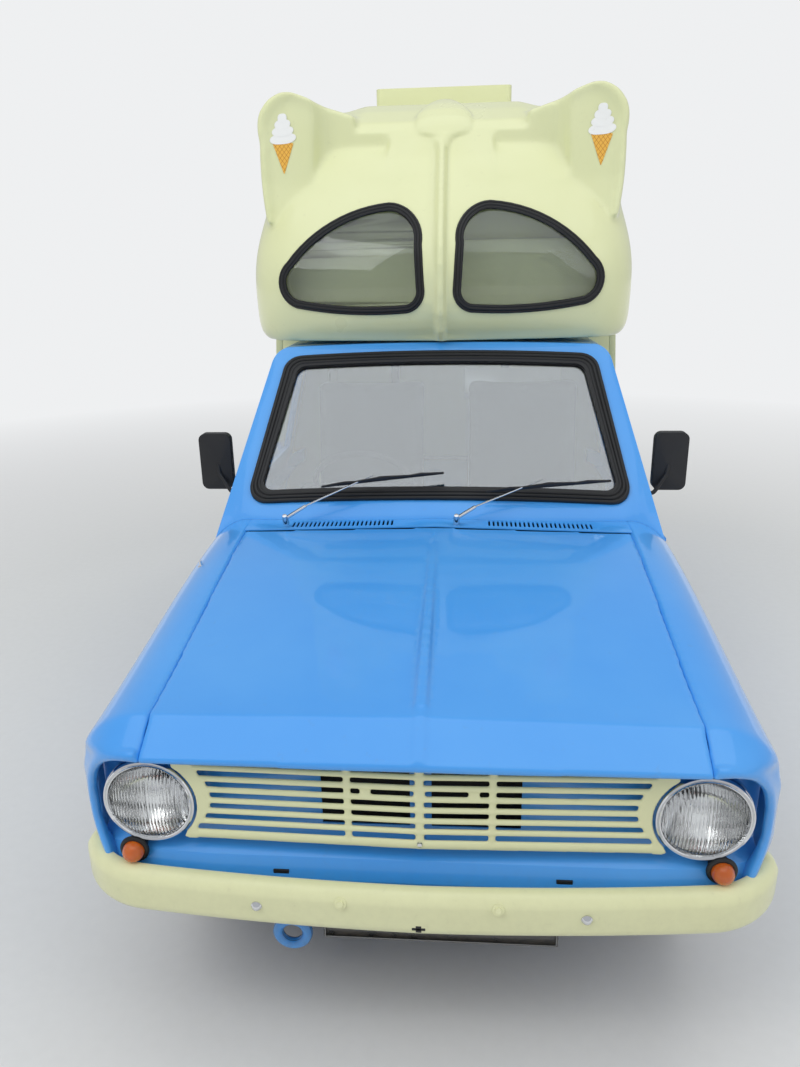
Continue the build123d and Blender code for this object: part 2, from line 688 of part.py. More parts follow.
REAR_OPENING = REAR_DOOR_HALF + 4
with BuildPart() as body_back:
    add(body_space.part)
    add(block((-800, 800), (y_at(BODY_REAR - BODY_WALL), y_at(BODY_REAR)), (331, 2300)), mode=Mode.INTERSECT)
    add(block((-REAR_OPENING, REAR_OPENING), (0, 2000), (BODY_FLOOR_Z + 2, REAR_DOOR_TOP + 4)),
        mode=Mode.SUBTRACT)
with BuildPart() as body_ends:
    add(body_front.part)
    add(body_back.part)
keep(body_ends, "body_ends")

rear_window = block((-230, 230), (0, 2000), (1250, 1750))
with BuildPart() as rear_door:
    add(block((4 - REAR_OPENING + 4, REAR_DOOR_HALF - 4), (y_at(BODY_REAR - BODY_WALL), y_at(BODY_REAR)),
              (BODY_FLOOR_Z + 8, REAR_DOOR_TOP - 2)))
    add(rear_window, mode=Mode.SUBTRACT)
keep(rear_door, "rear_door")
with BuildPart() as rear_door_glass:
    add(block((-230, 230), (y_at(BODY_REAR - 18), y_at(BODY_REAR - 13)), (1250, 1750)))
keep(rear_door_glass, "rear_door_glass")

with BuildPart() as body_glass:
    for cut in (hatch_cut, side_window_cut):
        with BuildPart(mode=Mode.PRIVATE) as pane:
            extrude(rear_section(10), amount=-BODY_LENGTH)
            extrude(rear_section(15), amount=-BODY_LENGTH, mode=Mode.SUBTRACT)
            add(cut, mode=Mode.INTERSECT)
        add(pane.part)

# Overcab pod: horizontal sections by height, half width, station of the front, sweep to the corner
# and half width where it meets the body
POD_WALL = 8
POD_ROWS = [
    (1449, 640, 1606, 34, 710), (1474, 668, 1560, 60, 712), (1570, 678, 1508, 84, 706),
    (1670, 678, 1503, 88, 699),
    (1780, 668, 1540, 86, 692), (1890, 644, 1612, 74, 685), (1990, 622, 1690, 58, 678),
    (2090, 610, 1790, 40, 652),
]


def pod_section(z, half, front, sweep, rear_half, inset):
    """Plan outline of the pod at one height: bowed front, round corners, sides out to the body."""
    half = half - inset
    front = front + inset
    corner = 150
    with BuildSketch(Plane.XY.offset(z)) as section:
        with BuildLine():
            bow = ThreePointArc((0, y_at(front)), (230, y_at(front + sweep * 0.22)),
                                (half - corner, y_at(front + sweep)))
            turn = TangentArc(bow @ 1, (half, y_at(front + sweep + 165)), tangent=bow % 1)
            Line(turn @ 1, (rear_half - inset, y_at(CAB_REAR)))
            Line((rear_half - inset, y_at(CAB_REAR)), (0, y_at(CAB_REAR)))
            mirror(about=Plane.YZ)
        make_face()
    return section.sketch


def pod_bulge(inset):
    """Rounded lower body of the pod."""
    with BuildPart() as form:
        loft([pod_section(*row, inset) for row in POD_ROWS])
    return form.part


# Ears: raised front corners with dished faces, running back into the body's roof edge
EAR_FRONT = 1690
EAR_DISH = 16
EAR_FACE = [(1684, 1840), (1716, 1980), (1750, 2300)]


def ear_section(station, base, waist, shoulder, top, foot, ridge_foot):
    """Ear outline in cross-section, from the points down its outer side and over its top."""
    with BuildSketch(Plane.XZ.offset(-y_at(station)), mode=Mode.PRIVATE) as section:
        with BuildLine():
            Line((300, 1850), base)
            ThreePointArc(base, waist, shoulder)
            ThreePointArc(shoulder, ((shoulder[0] * 0.8 + top[0] * 0.2),
                                     (shoulder[1] * 0.25 + top[1] * 0.75)), top)
            ThreePointArc(top, ((top[0] + foot[0]) / 2 + 4, (top[1] * 0.62 + foot[1] * 0.38)), foot)
            Line(foot, (300, ridge_foot))
            Line((300, ridge_foot), (300, 1850))
        make_face()
    return section.sketch


with BuildPart() as ear:
    loft([
        ear_section(EAR_FRONT, (606, 1850), (622, 1990), (628, 2130), (520, 2288), (395, 2226), 2190),
        ear_section(1940, (648, 1850), (652, 1990), (640, 2090), (530, 2256), (410, 2238), 2215),
        ear_section(CAB_REAR, (690, 1850), (685, 1940), (679, 2010), (519, 2215), (410, 2236), 2248),
    ])
    add(side_prism([*EAR_FACE, (1900, 2300), (2205, 2290), (2205, 1840)], (200, 720)), mode=Mode.INTERSECT)
with BuildPart() as ear_dish:
    with BuildSketch(Plane.XZ.offset(-y_at(1600))):
        with BuildLine():
            Line((380, 1850), (590, 1850))
            ThreePointArc((590, 1850), (601, 1990), (604, 2120))
            ThreePointArc((604, 2120), (580, 2224), (518, 2262))
            ThreePointArc((518, 2262), (440, 2236), (400, 2120))
            Line((400, 2120), (380, 1850))
        make_face()
    extrude(amount=-400)
    face_back = [(station + EAR_DISH, z) for station, z in EAR_FACE]
    add(side_prism([*face_back, (1500, 2300), (1500, 1840)], (200, 720)), mode=Mode.INTERSECT)
with BuildPart() as dished_ear:
    add(ear.part)
    add(ear_dish.part, mode=Mode.SUBTRACT)

# Spade on the centre bridge, where the spine runs out
SPADE_STATION = 1850
SPADE_Z = 2146
SPADE_SLOPE = 33
SPADE_PLANE = Plane((0, y_at(SPADE_STATION), SPADE_Z), x_dir=(1, 0, 0),
                    z_dir=(0, -sin(radians(SPADE_SLOPE)), cos(radians(SPADE_SLOPE))))
with BuildPart() as spade:
    with BuildSketch(SPADE_PLANE.offset(-12)):
        with BuildLine():
            Line((0, -150), (14, -150))
            ThreePointArc((14, -150), (40, -86), (100, -66))
            ThreePointArc((100, -66), (92, 50), (0, 122))
            mirror(about=Plane.YZ)
        make_face()
    extrude(amount=34, taper=28)

# Half-round spine up the middle of the bulge
SPINE_R = 17
SPINE_PATH = [(1584, 1468), (1548, 1500), (1512, 1572), (1506, 1670), (1543, 1782), (1615, 1890),
              (1693, 1990), (1790, 2085)]
with BuildPart() as spine:
    with BuildLine() as spine_line:
        FilletPolyline(*[(0, y_at(station), z) for station, z in SPINE_PATH], radius=90)
    with BuildSketch(Plane(spine_line.line @ 0, z_dir=spine_line.line % 0)):
        Circle(SPINE_R)
    sweep(path=spine_line.line)

RECESS_HALF = 440
RECESS_STATION = 1800
BRIDGE_HALF = 182
with BuildPart() as pod_solid:
    add(pod_bulge(0))
    add(dished_ear.part)
    add(mirror(dished_ear.part, about=Plane.YZ, mode=Mode.PRIVATE))
    add(side_prism([(RECESS_STATION, 1950), (RECESS_STATION, 2148), (1830, 2166), (2010, 2246),
                    (2200, 2262), (2200, 1950)],
                   (-RECESS_HALF, RECESS_HALF)))
    with BuildSketch(Plane.YZ.offset(-BRIDGE_HALF)):
        with BuildLine():
            bridge = ThreePointArc((y_at(1640), 1900), (y_at(1830), 2136), (y_at(2200), 2264))
            Line(bridge @ 1, (y_at(2200), 1900))
            Line((y_at(2200), 1900), bridge @ 0)
        make_face()
    extrude(amount=2 * BRIDGE_HALF)
    add(spine.part)
    add(spade.part)

with BuildPart() as pod_inside:
    add(pod_bulge(POD_WALL))
    add(block((-430, 430), (y_at(1850), y_at(2300)), (1950, 2120)))
    add(block((-900, 900), (FRONT, 2000), (1300, 1459)), mode=Mode.SUBTRACT)


def teardrop(grow):
    """Pod window on the left half: upright inner edge, pointed towards the side."""
    with BuildPart() as prism:
        with BuildSketch(Plane.XZ.offset(-y_at(1450))):
            with BuildLine():
                Line((68, 1630), (76, 1770))
                ThreePointArc((76, 1770), (104, 1858), (170, 1887))
                ThreePointArc((170, 1887), (376, 1824), (512, 1708))
                ThreePointArc((512, 1708), (537, 1640), (492, 1589))
                ThreePointArc((492, 1589), (310, 1568), (120, 1570))
                ThreePointArc((120, 1570), (80, 1588), (68, 1630))
            make_face()
            if grow:
                offset(amount=grow)
        extrude(amount=-420)
    return prism.part


with BuildPart() as pod_windows:
    add(teardrop(0))
    mirror(about=Plane.YZ)
with BuildPart() as pod_window_rims:
    add(teardrop(20))
    mirror(about=Plane.YZ)

with BuildPart() as overcab_pod:
    add(pod_solid.part)
    add(pod_inside.part, mode=Mode.SUBTRACT)
    add(pod_windows.part, mode=Mode.SUBTRACT)
keep(overcab_pod, "overcab_pod")

with BuildPart() as pod_glass:
    add(pod_bulge(1))
    add(pod_bulge(5), mode=Mode.SUBTRACT)
    add(pod_windows.part, mode=Mode.INTERSECT)
with BuildPart() as window_glass:
    add(body_glass.part)
    add(pod_glass.part)
keep(window_glass, "window_glass")

with BuildPart() as pod_seals:
    add(pod_bulge(-8))
    add(pod_bulge(-0.4), mode=Mode.SUBTRACT)
    add(pod_window_rims.part, mode=Mode.INTERSECT)
    with BuildPart(mode=Mode.PRIVATE) as seal_inside:
        add(teardrop(-9))
        mirror(about=Plane.YZ)
    add(seal_inside.part, mode=Mode.SUBTRACT)
with BuildPart() as window_seals:
    add(screen_seal.part)
    add(pod_seals.part)
keep(window_seals, "window_seals")

# Chassis frame: two rails kicked up at the rear, crossmembers and bumper brackets
RAIL_SIDE = [(150, 330), (2480, 330), (2640, 400), (3820, 400), (3820, 480), (2610, 480), (2450, 410),
             (150, 410)]
RAIL_IN = RAIL_X - RAIL_WIDTH / 2
RAIL_OUT = RAIL_X + RAIL_WIDTH / 2
CROSSMEMBERS = [(180, 330, 400), (1290, 335, 395), (2080, 335, 395), (2700, 405, 470), (3380, 405, 470),
                (3756, 405, 470)]
with BuildPart() as chassis_frame:
    for x in (RAIL_IN, -RAIL_OUT):
        add(side_prism(RAIL_SIDE, (x, x + RAIL_WIDTH)))
    for station, low, high in CROSSMEMBERS:
        add(block((-RAIL_IN, RAIL_IN), (y_at(station), y_at(station + 60)), (low, high)))
    # Brackets from the rail ends through the valance to the bumper
    for x in (-RAIL_X, RAIL_X):
        add(block((x - 20, x + 20), (y_at(13.8), y_at(152)), (424, 440)))
        add(block((x - 20, x + 20), (y_at(140), y_at(170)), (405, 436)))
    add(bumper_front.part, mode=Mode.SUBTRACT)
    # Towing eye below the front crossmember
    with BuildSketch(Plane.XZ.offset(-y_at(194))):
        with Locations((-315, 198)):
            Circle(47)
        with Locations((-315, 290)):
            Rectangle(40, 110)
        with Locations((-315, 198)):
            Circle(24, mode=Mode.SUBTRACT)
    extrude(amount=-12)
    # Spring hangers at the rear
    for x in (-RAIL_X, RAIL_X):
        for station in (2570, 3455):
            add(block((x - 25, x + 25), (y_at(station - 22), y_at(station + 22)), (345, 420)))
keep(chassis_frame, "chassis_frame")

# Front suspension: crossmember, two wishbones a side and coil springs
ARM_LOW = 168
ARM_HIGH = 402
with BuildPart() as front_suspension:
    add(block((-RAIL_OUT + 1, RAIL_OUT - 1), (y_at(FRONT_AXLE - 55), y_at(FRONT_AXLE + 55)), (240, 329.5)))
    for x in (-RAIL_OUT, RAIL_OUT - 14):
        add(block((x, x + 14), (y_at(FRONT_AXLE - 120), y_at(FRONT_AXLE + 120)), (150, 329.5)))
        add(block((x, x + 14), (y_at(FRONT_AXLE - 70), y_at(FRONT_AXLE + 70)), (410.5, 440)))
    with BuildPart(mode=Mode.PRIVATE) as arms:
        for z in (ARM_LOW, ARM_HIGH):
            with BuildSketch(Plane.XY.offset(z - 9)):
                with BuildLine():
                    Polyline((RAIL_OUT - 10, y_at(FRONT_AXLE - 105)), (RAIL_OUT + 14, y_at(FRONT_AXLE - 105)),
                             (KINGPIN_X - 10, y_at(FRONT_AXLE - 24)), (KINGPIN_X - 10, y_at(FRONT_AXLE + 24)),
                             (RAIL_OUT + 14, y_at(FRONT_AXLE + 105)),
                             (RAIL_OUT - 10, y_at(FRONT_AXLE + 105)), close=True)
                make_face()
                with Locations((KINGPIN_X, y_at(FRONT_AXLE))):
                    Circle(30)
                with Locations((430, y_at(FRONT_AXLE))):
                    Circle(36, mode=Mode.SUBTRACT)
                with Locations((KINGPIN_X, y_at(FRONT_AXLE))):
                    Circle(KINGPIN_R + PIN_CLEARANCE, mode=Mode.SUBTRACT)
            extrude(amount=18)
        # Upper arm's pivot bracket up the outside of the rail
        add(block((RAIL_OUT, RAIL_OUT + 12), (y_at(FRONT_AXLE - 105), y_at(FRONT_AXLE + 105)), (320, 411)))
    add(arms.part)
    mirror(arms.part, about=Plane.YZ)
    add(chassis_frame.part, mode=Mode.SUBTRACT)
keep(front_suspension, "front_suspension")

# Knuckles: upright on the kingpin, stub axle and brake drum
DRUM_X = (572, 618)
with BuildPart() as knuckle_left:
    with BuildSketch(Plane.XY.offset(150)):
        with Locations((KINGPIN_X, y_at(FRONT_AXLE))):
            Circle(KINGPIN_R)
    extrude(amount=270)
    with BuildSketch(Plane.XY.offset(ARM_LOW + 15)):
        with Locations((KINGPIN_X, y_at(FRONT_AXLE))):
            Circle(26)
    extrude(amount=ARM_HIGH - ARM_LOW - 30)
    add(tube_x(FRONT_AXLE, WHEEL_R, 30, (KINGPIN_X, DRUM_X[0] + 2)))
    add(tube_x(FRONT_AXLE, WHEEL_R, DRUM_R, DRUM_X))
    add(tube_x(FRONT_AXLE, WHEEL_R, STUB_R, (DRUM_X[1] - 2, STUB_END)))
with BuildPart() as knuckle_right:
    add(knuckle_left.part)
    mirror(about=Plane.YZ, mode=Mode.REPLACE)
keep(knuckle_left, "knuckle_left")
keep(knuckle_right, "knuckle_right")

# Rear axle: tube, drums and differential on leaf springs
SPRING_ENDS = (2570, 3455)
with BuildPart() as rear_axle:
    with BuildSketch(Plane((0, y_at(REAR_AXLE), WHEEL_R), x_dir=(1, 0, 0), z_dir=(0, -1, 0))):
        with BuildLine():
            ThreePointArc((0, 98), (60, 78), (105, 32))
            Polyline((105, 32), (DRUM_X[0], 32), (DRUM_X[0], DRUM_R), (DRUM_X[1], DRUM_R),
                     (DRUM_X[1], STUB_R),
                     (STUB_END, STUB_R), (STUB_END, 0), (0, 0))
            mirror(about=Plane.YZ)
        make_face()
    revolve(axis=Axis((0, y_at(REAR_AXLE), WHEEL_R), (1, 0, 0)))
    for x in (-RAIL_X, RAIL_X):
        with BuildSketch(Plane.YZ.offset(x - 24)):
            with BuildLine():
                ThreePointArc((y_at(SPRING_ENDS[0]), 345), (y_at(REAR_AXLE), 232),
                              (y_at(SPRING_ENDS[1]), 345))
                Line((y_at(SPRING_ENDS[1]), 345), (y_at(SPRING_ENDS[1]), 330))
                ThreePointArc((y_at(SPRING_ENDS[1]), 330), (y_at(REAR_AXLE), 208),
                              (y_at(SPRING_ENDS[0]), 330))
                Line((y_at(SPRING_ENDS[0]), 330), (y_at(SPRING_ENDS[0]), 345))
            make_face()
        extrude(amount=48)
        add(block((x - 28, x + 28), (y_at(REAR_AXLE - 45), y_at(REAR_AXLE + 45)), (225, 270)))
    add(chassis_frame.part, mode=Mode.SUBTRACT)
keep(rear_axle, "rear_axle")


# Wheels: tyre and pressed rim turned about the axle
def wheel_face(side, station):
    """Sketch plane through the axle: first axis outwards along X, second up."""
    return Plane((side * TRACK / 2, y_at(station), WHEEL_R), x_dir=(side, 0, 0), z_dir=(0, -side, 0))


HALF_TYRE = TYRE_WIDTH / 2
HALF_RIM = RIM_WIDTH / 2
WHEELS = [
    ("front_left", 1, FRONT_AXLE), ("front_right", -1, FRONT_AXLE),
    ("rear_left", 1, REAR_AXLE), ("rear_right", -1, REAR_AXLE),
]
for corner_name, side, station in WHEELS:
    plane = wheel_face(side, station)
    axle = Axis(plane.origin, (1, 0, 0))
    with BuildPart() as tyre:
        with BuildSketch(plane):
            with BuildLine():
                Polyline((-66, RIM_R + 38), (-52, RIM_R + 12), (-48, RIM_R + 1), (48, RIM_R + 1),
                         (52, RIM_R + 12),
                         (66, RIM_R + 38))
                ThreePointArc((66, RIM_R + 38), (HALF_TYRE, 236), (62, 276))
                ThreePointArc((62, 276), (0, WHEEL_R), (-62, 276))
                ThreePointArc((-62, 276), (-HALF_TYRE, 236), (-66, RIM_R + 38))
            make_face()
        revolve(axis=axle)
    keep(tyre, f"tyre_{corner_name}")
    with BuildPart() as rim:
        with BuildSketch(plane):
            with BuildLine():
                Polyline(
                    (-HALF_RIM, RIM_R + 10), (-HALF_RIM + 4, RIM_R + 10), (-HALF_RIM + 5, RIM_R),
                    (-20, RIM_R - 1),
                    (-14, 150), (14, 150), (20, RIM_R - 1), (HALF_RIM - 5, RIM_R), (HALF_RIM - 4, RIM_R + 10),
                    (HALF_RIM, RIM_R + 10), (HALF_RIM, RIM_R - 4), (30, RIM_R - 6), (24, 140), (38, 110),
                    (24, 70),
                    (40, 44), (46, 0), (40, 0), (34, 40), (18, 70), (32, 110), (18, 145), (-18, 145),
                    (-24, RIM_R - 5),
                    (-HALF_RIM, RIM_R - 4), close=True,
                )
            make_face()
        revolve(axis=axle)
        with BuildSketch(Plane.YZ.offset(side * (TRACK / 2 + 10))):
            with Locations((y_at(station), WHEEL_R)):
                with PolarLocations(122, 8):
                    Circle(11)
        extrude(amount=side * 60, mode=Mode.SUBTRACT)
    keep(rim, f"rim_{corner_name}")

# Rear wheel boxes and door sills
BOX_R = ARCH_R + 8
with BuildPart() as wheel_boxes:
    for low, high in ((500, 724), (-724, -500)):
        add(tube_x(REAR_AXLE, WHEEL_R, BOX_R, (low, high)))
    add(block((-800, 800), (FRONT, 2000), (-100, 335)), mode=Mode.SUBTRACT)
    for low, high in ((504, 760), (-760, -504)):
        add(tube_x(REAR_AXLE, WHEEL_R, BOX_R - SKIN, (low, high)), mode=Mode.SUBTRACT)
    for neighbour in (skirts, chassis_frame):
        add(neighbour.part, mode=Mode.SUBTRACT)
keep(wheel_boxes, "wheel_boxes")

CAB_FLOOR_Z = 420
with BuildPart() as sills:
    add(OUTER_BODY)
    add(body_form(DOOR_THICK), mode=Mode.SUBTRACT)
    add(block((600, 800), (y_at(DOOR_FRONT - SHUT_GAP + 1), y_at(CAB_REAR)), (SILL_Z, DOOR_BOTTOM - 7)),
        mode=Mode.INTERSECT)
    add(block((640, 685), (y_at(DOOR_FRONT), y_at(CAB_REAR)), (304, CAB_FLOOR_Z - 10)))
    add(block((680, 700), (y_at(DOOR_FRONT), y_at(CAB_REAR)), (304, 320)))
    mirror(about=Plane.YZ)
    for neighbour in (skirts, body_front, door_posts):
        add(neighbour.part, mode=Mode.SUBTRACT)
keep(sills, "sills")

# Floor: flat in the cab, a step up behind the seats, flat in the body
FLOOR_STEP = 2300
with BuildPart() as floor_pan:
    add(block((-690, 690), (y_at(1108), y_at(FLOOR_STEP + 4)), (CAB_FLOOR_Z - 10, CAB_FLOOR_Z)))
    add(block((-690, 690), (y_at(FLOOR_STEP), y_at(FLOOR_STEP + 4)), (CAB_FLOOR_Z - 10, BODY_FLOOR_Z)))
    add(block((-725, 725), (y_at(FLOOR_STEP), y_at(BODY_REAR - BODY_WALL)),
              (BODY_FLOOR_Z - 10, BODY_FLOOR_Z)))
    for low, high in ((500, 760), (-760, -500)):
        add(tube_x(REAR_AXLE, WHEEL_R, BOX_R, (low, high)), mode=Mode.SUBTRACT)
    for neighbour in (chassis_frame, skirts, body_front, door_posts):
        add(neighbour.part, mode=Mode.SUBTRACT)
keep(floor_pan, "floor_pan")

# Engine bay: engine as one plain block, radiator behind the grille
with BuildPart() as engine:
    add(block((-170, 170), (y_at(820), y_at(1098)), (340, 770)))
    add(block((-170, 170), (y_at(545), y_at(820)), (440, 770)))
    add(block((-240, 240), (y_at(250), y_at(300)), (411, 745)))
keep(engine, "engine")

# Gearbox and propeller shaft
with BuildPart() as driveline:
    with BuildSketch(Plane.XZ.offset(-y_at(1112))):
        with Locations((0, 340)):
            RectangleRounded(210, 130, 40)
    with BuildSketch(Plane.XZ.offset(-y_at(1285))):
        with Locations((0, 335)):
            RectangleRounded(130, 110, 40)
    loft()
    with BuildSketch(Plane.XZ.offset(-y_at(1285))):
        with Locations((0, 320)):
            Circle(28)
    extrude(amount=-(REAR_AXLE - 97 - 1285))
    for neighbour in (floor_pan, chassis_frame, rear_axle):
        add(neighbour.part, mode=Mode.SUBTRACT)
keep(driveline, "driveline")

# Exhaust: down pipe, silencer and tail pipe
with BuildPart() as exhaust:
    with BuildLine() as pipe_run:
        FilletPolyline((205, y_at(900), 430), (205, y_at(1000), 290), (205, y_at(1500), 262),
                       (205, y_at(2560), 262),
                       (205, y_at(2800), 180), (205, y_at(3250), 180), (205, y_at(3500), 300),
                       (205, y_at(3842), 300),
                       radius=90)
    with BuildSketch(Plane(pipe_run.line @ 0, z_dir=pipe_run.line % 0)):
        Circle(20)
    sweep(path=pipe_run.line)
    with BuildSketch(Plane.XZ.offset(-y_at(1900))):
        with Locations((205, 262)):
            Ellipse(75, 55)
    extrude(amount=-420)
    for neighbour in (engine, chassis_frame, rear_axle):
        add(neighbour.part, mode=Mode.SUBTRACT)
keep(exhaust, "exhaust")

with BuildPart() as fuel_tank:
    add(block((-270, 120), (y_at(3460), y_at(3740)), (290, 399)))
    fillet(edges().filter_by(Axis.Z), 40)
    fillet(edges().group_by(Axis.Z)[0], 20)
keep(fuel_tank, "fuel_tank")

# Rear bumper, lamps and blank plates
with BuildPart() as bumper_rear:
    with BuildSketch(Plane.XY.offset(370)):
        with BuildLine():
            bow = ThreePointArc((0, y_at(LENGTH)), (300, y_at(LENGTH - 4)), (640, y_at(LENGTH - 16)))
            side_turn = TangentArc(bow @ 1, (738, y_at(LENGTH - 110)), tangent=bow % 1)
            Line(side_turn @ 1, (700, y_at(LENGTH - 110)))
            Line((700, y_at(LENGTH - 110)), (620, y_at(LENGTH - 46)))
            Line((620, y_at(LENGTH - 46)), (0, y_at(LENGTH - 46)))
            mirror(about=Plane.YZ)
        make_face()
    extrude(amount=105)
    add(block((-680, 680), (y_at(3800), y_at(LENGTH - 24)), (378, 467)), mode=Mode.SUBTRACT)
    add(block((-800, 800), (y_at(3700), y_at(BODY_REAR + 0.3)), (331, 500)), mode=Mode.SUBTRACT)
    for x in (-RAIL_X, RAIL_X):
        add(block((x - 20, x + 20), (y_at(BODY_REAR + 0.3), y_at(LENGTH - 20)), (400, 440)))
keep(bumper_rear, "bumper_rear")

REAR_LAMP_X = 655
with BuildPart() as rear_lamps:
    with BuildSketch(Plane.XZ.offset(-y_at(BODY_REAR + 0.3))):
        for x in (-REAR_LAMP_X, REAR_LAMP_X):
            with Locations((x, 640)):
                RectangleRounded(90, 210, 18)
    extrude(amount=-26)
    fillet(faces().sort_by(Axis.Y)[-1].edges() + faces().sort_by(Axis.Y)[-2].edges(), 8)
keep(rear_lamps, "rear_lamps")

PLATE_FRONT_X = 40
with BuildPart() as number_plates:
    add(block((PLATE_FRONT_X - 260, PLATE_FRONT_X + 260), (y_at(104), y_at(107)), (282, 393)))
    add(block((PLATE_FRONT_X - 180, PLATE_FRONT_X - 150), (y_at(107), y_at(110)), (300, 420)))
    add(block((PLATE_FRONT_X + 150, PLATE_FRONT_X + 180), (y_at(107), y_at(110)), (300, 420)))
    add(block((-560, -355), (y_at(BODY_REAR + 0.3), y_at(BODY_REAR + 4)), (520, 673)))
    add(nose_panel.part, mode=Mode.SUBTRACT)
keep(number_plates, "number_plates")

# Wipers: pivot, arm and blade lying on the lower edge of the glass
WIPERS = [(-482, -376, -118, 70), (62, 184, 492, 54)]
with BuildPart() as wipers:
    for pivot_x, low_x, high_x, rise in WIPERS:
        with BuildSketch(Plane.XY.offset(925)):
            with Locations((pivot_x, y_at(1122))):
                Circle(11)
        extrude(amount=42)
        arm_low = Vector(pivot_x, y_at(1120), 960)
        arm_high = Vector((low_x + high_x) / 2, y_at(1172), 1030)
        with BuildSketch(Plane(arm_low, z_dir=arm_high - arm_low)):
            Rectangle(10, 14)
        extrude(amount=(arm_high - arm_low).length)
        blade_low = Vector(low_x, y_at(1176), 1022)
        blade_high = Vector(high_x, y_at(1168), 1032)
        with BuildSketch(Plane(blade_low, z_dir=blade_high - blade_low)):
            Rectangle(12, 16)
        extrude(amount=(blade_high - blade_low).length)
    for neighbour in (screen_seal, windscreen, scuttle, windscreen_frame):
        add(neighbour.part, mode=Mode.SUBTRACT)
    add(solids().sort_by(SortBy.VOLUME)[-len(WIPERS):], mode=Mode.REPLACE)
keep(wipers, "wipers")

# Cab inside: dashboard, steering wheel on its column, two seats
DASH = [(1215, 905), (1420, 905), (1470, 870), (1470, 800), (1400, 760), (1215, 760)]
with BuildPart() as dashboard:
    add(side_prism(DASH, (-640, 640)))
    add(side_prism([(1360, 880), (1380, 975), (1445, 975), (1480, 860)], (-480, -120)))
    add(block((-120, 120), (y_at(1360), y_at(1420)), (600, 780)))
keep(dashboard, "dashboard")

WHEEL_CENTRE = Vector(-296, y_at(1690), 905)
COLUMN_RAKE = 38
wheel_axis = Vector(0, cos(radians(COLUMN_RAKE)), sin(radians(COLUMN_RAKE)))
with BuildPart() as steering_wheel:
    hub_plane = Plane(WHEEL_CENTRE, x_dir=(1, 0, 0), z_dir=wheel_axis)
    with BuildSketch(Plane(WHEEL_CENTRE, x_dir=(1, 0, 0), z_dir=hub_plane.y_dir)):
        with Locations((185, 0)):
            Circle(11)
    revolve(axis=Axis(WHEEL_CENTRE, wheel_axis))
    with BuildSketch(hub_plane.offset(-22)):
        Circle(42)
    extrude(amount=22)
    with BuildSketch(hub_plane.offset(-14)):
        Rectangle(368, 26)
    extrude(amount=8)
    with BuildSketch(hub_plane.offset(-330)):
        Circle(22)
    extrude(amount=310)
    add(dashboard.part, mode=Mode.SUBTRACT)
keep(steering_wheel, "steering_wheel")

SEAT_X = (-300, 330)
with BuildPart() as seat_cushions:
    for x in SEAT_X:
        with BuildPart(mode=Mode.PRIVATE) as seat:
            add(block((x - 240, x + 240), (y_at(1690), y_at(2120)), (560, 680)))
            fillet(edges(), 30)
            with BuildPart(mode=Mode.PRIVATE) as squab:
                add(side_prism([(2040, 690), (2165, 1240), (2060, 1240), (1935, 690)], (x - 230, x + 230)))
                fillet(edges(), 28)
            add(squab.part)
        add(seat.part)
keep(seat_cushions, "seat_cushions")
with BuildPart() as seat_frames:
    for x in SEAT_X:
        add(block((x - 200, x + 200), (y_at(1720), y_at(2100)), (420, 559)))
keep(seat_frames, "seat_frames")

# Selling space: freezer chest under the hatch with a counter on it
with BuildPart() as freezer:
    add(block((110, 495), (y_at(2440), y_at(3300)), (BODY_FLOOR_Z, 1110)))
    add(block((90, 700), (y_at(2430), y_at(3330)), (1110, 1140)))
    for neighbour in (skirts, body_side_left, floor_pan, wheel_boxes):
        add(neighbour.part, mode=Mode.SUBTRACT)
keep(freezer, "freezer")
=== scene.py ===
"""Looks of the small ice cream van: finishes, mouldings, lamps, trim, seats and tyres.

Metres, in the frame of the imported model: +X to the vehicle's left, +Y to the rear, +Z up.
Stations are distances behind the face of the front bumper.
"""
import json
from math import atan2, cos, pi, radians, sin, sqrt, tan

import bmesh
import bpy
from mathutils import Matrix, Vector


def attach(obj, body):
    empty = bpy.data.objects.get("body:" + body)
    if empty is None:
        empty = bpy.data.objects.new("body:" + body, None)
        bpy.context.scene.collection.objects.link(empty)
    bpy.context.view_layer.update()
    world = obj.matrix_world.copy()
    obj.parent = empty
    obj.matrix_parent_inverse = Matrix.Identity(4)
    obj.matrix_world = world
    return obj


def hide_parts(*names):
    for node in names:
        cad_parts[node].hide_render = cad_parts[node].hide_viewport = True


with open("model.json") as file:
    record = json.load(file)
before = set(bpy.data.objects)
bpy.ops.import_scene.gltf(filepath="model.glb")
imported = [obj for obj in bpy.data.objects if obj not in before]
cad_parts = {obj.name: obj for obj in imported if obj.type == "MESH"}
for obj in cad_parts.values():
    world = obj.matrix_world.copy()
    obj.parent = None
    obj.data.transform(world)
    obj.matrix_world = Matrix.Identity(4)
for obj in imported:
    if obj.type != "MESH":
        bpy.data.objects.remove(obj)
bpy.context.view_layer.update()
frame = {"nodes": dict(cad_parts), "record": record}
NODES = frame["nodes"]

FRONT = -1.950


def y_at(station):
    """Y of a station behind the front bumper's face."""
    return FRONT + station


# Camera at the photograph's viewing place and angle
PHOTO_SIZE = (800, 1067)
PHOTO_FOCAL = 809.25
CAMERA_PLACE = (0.0844, -3.2627, 1.7195)
CAMERA_YAW = 4.6462
CAMERA_PITCH = 18.6172
CAMERA_ROLL = -1.1106
SENSOR = 36


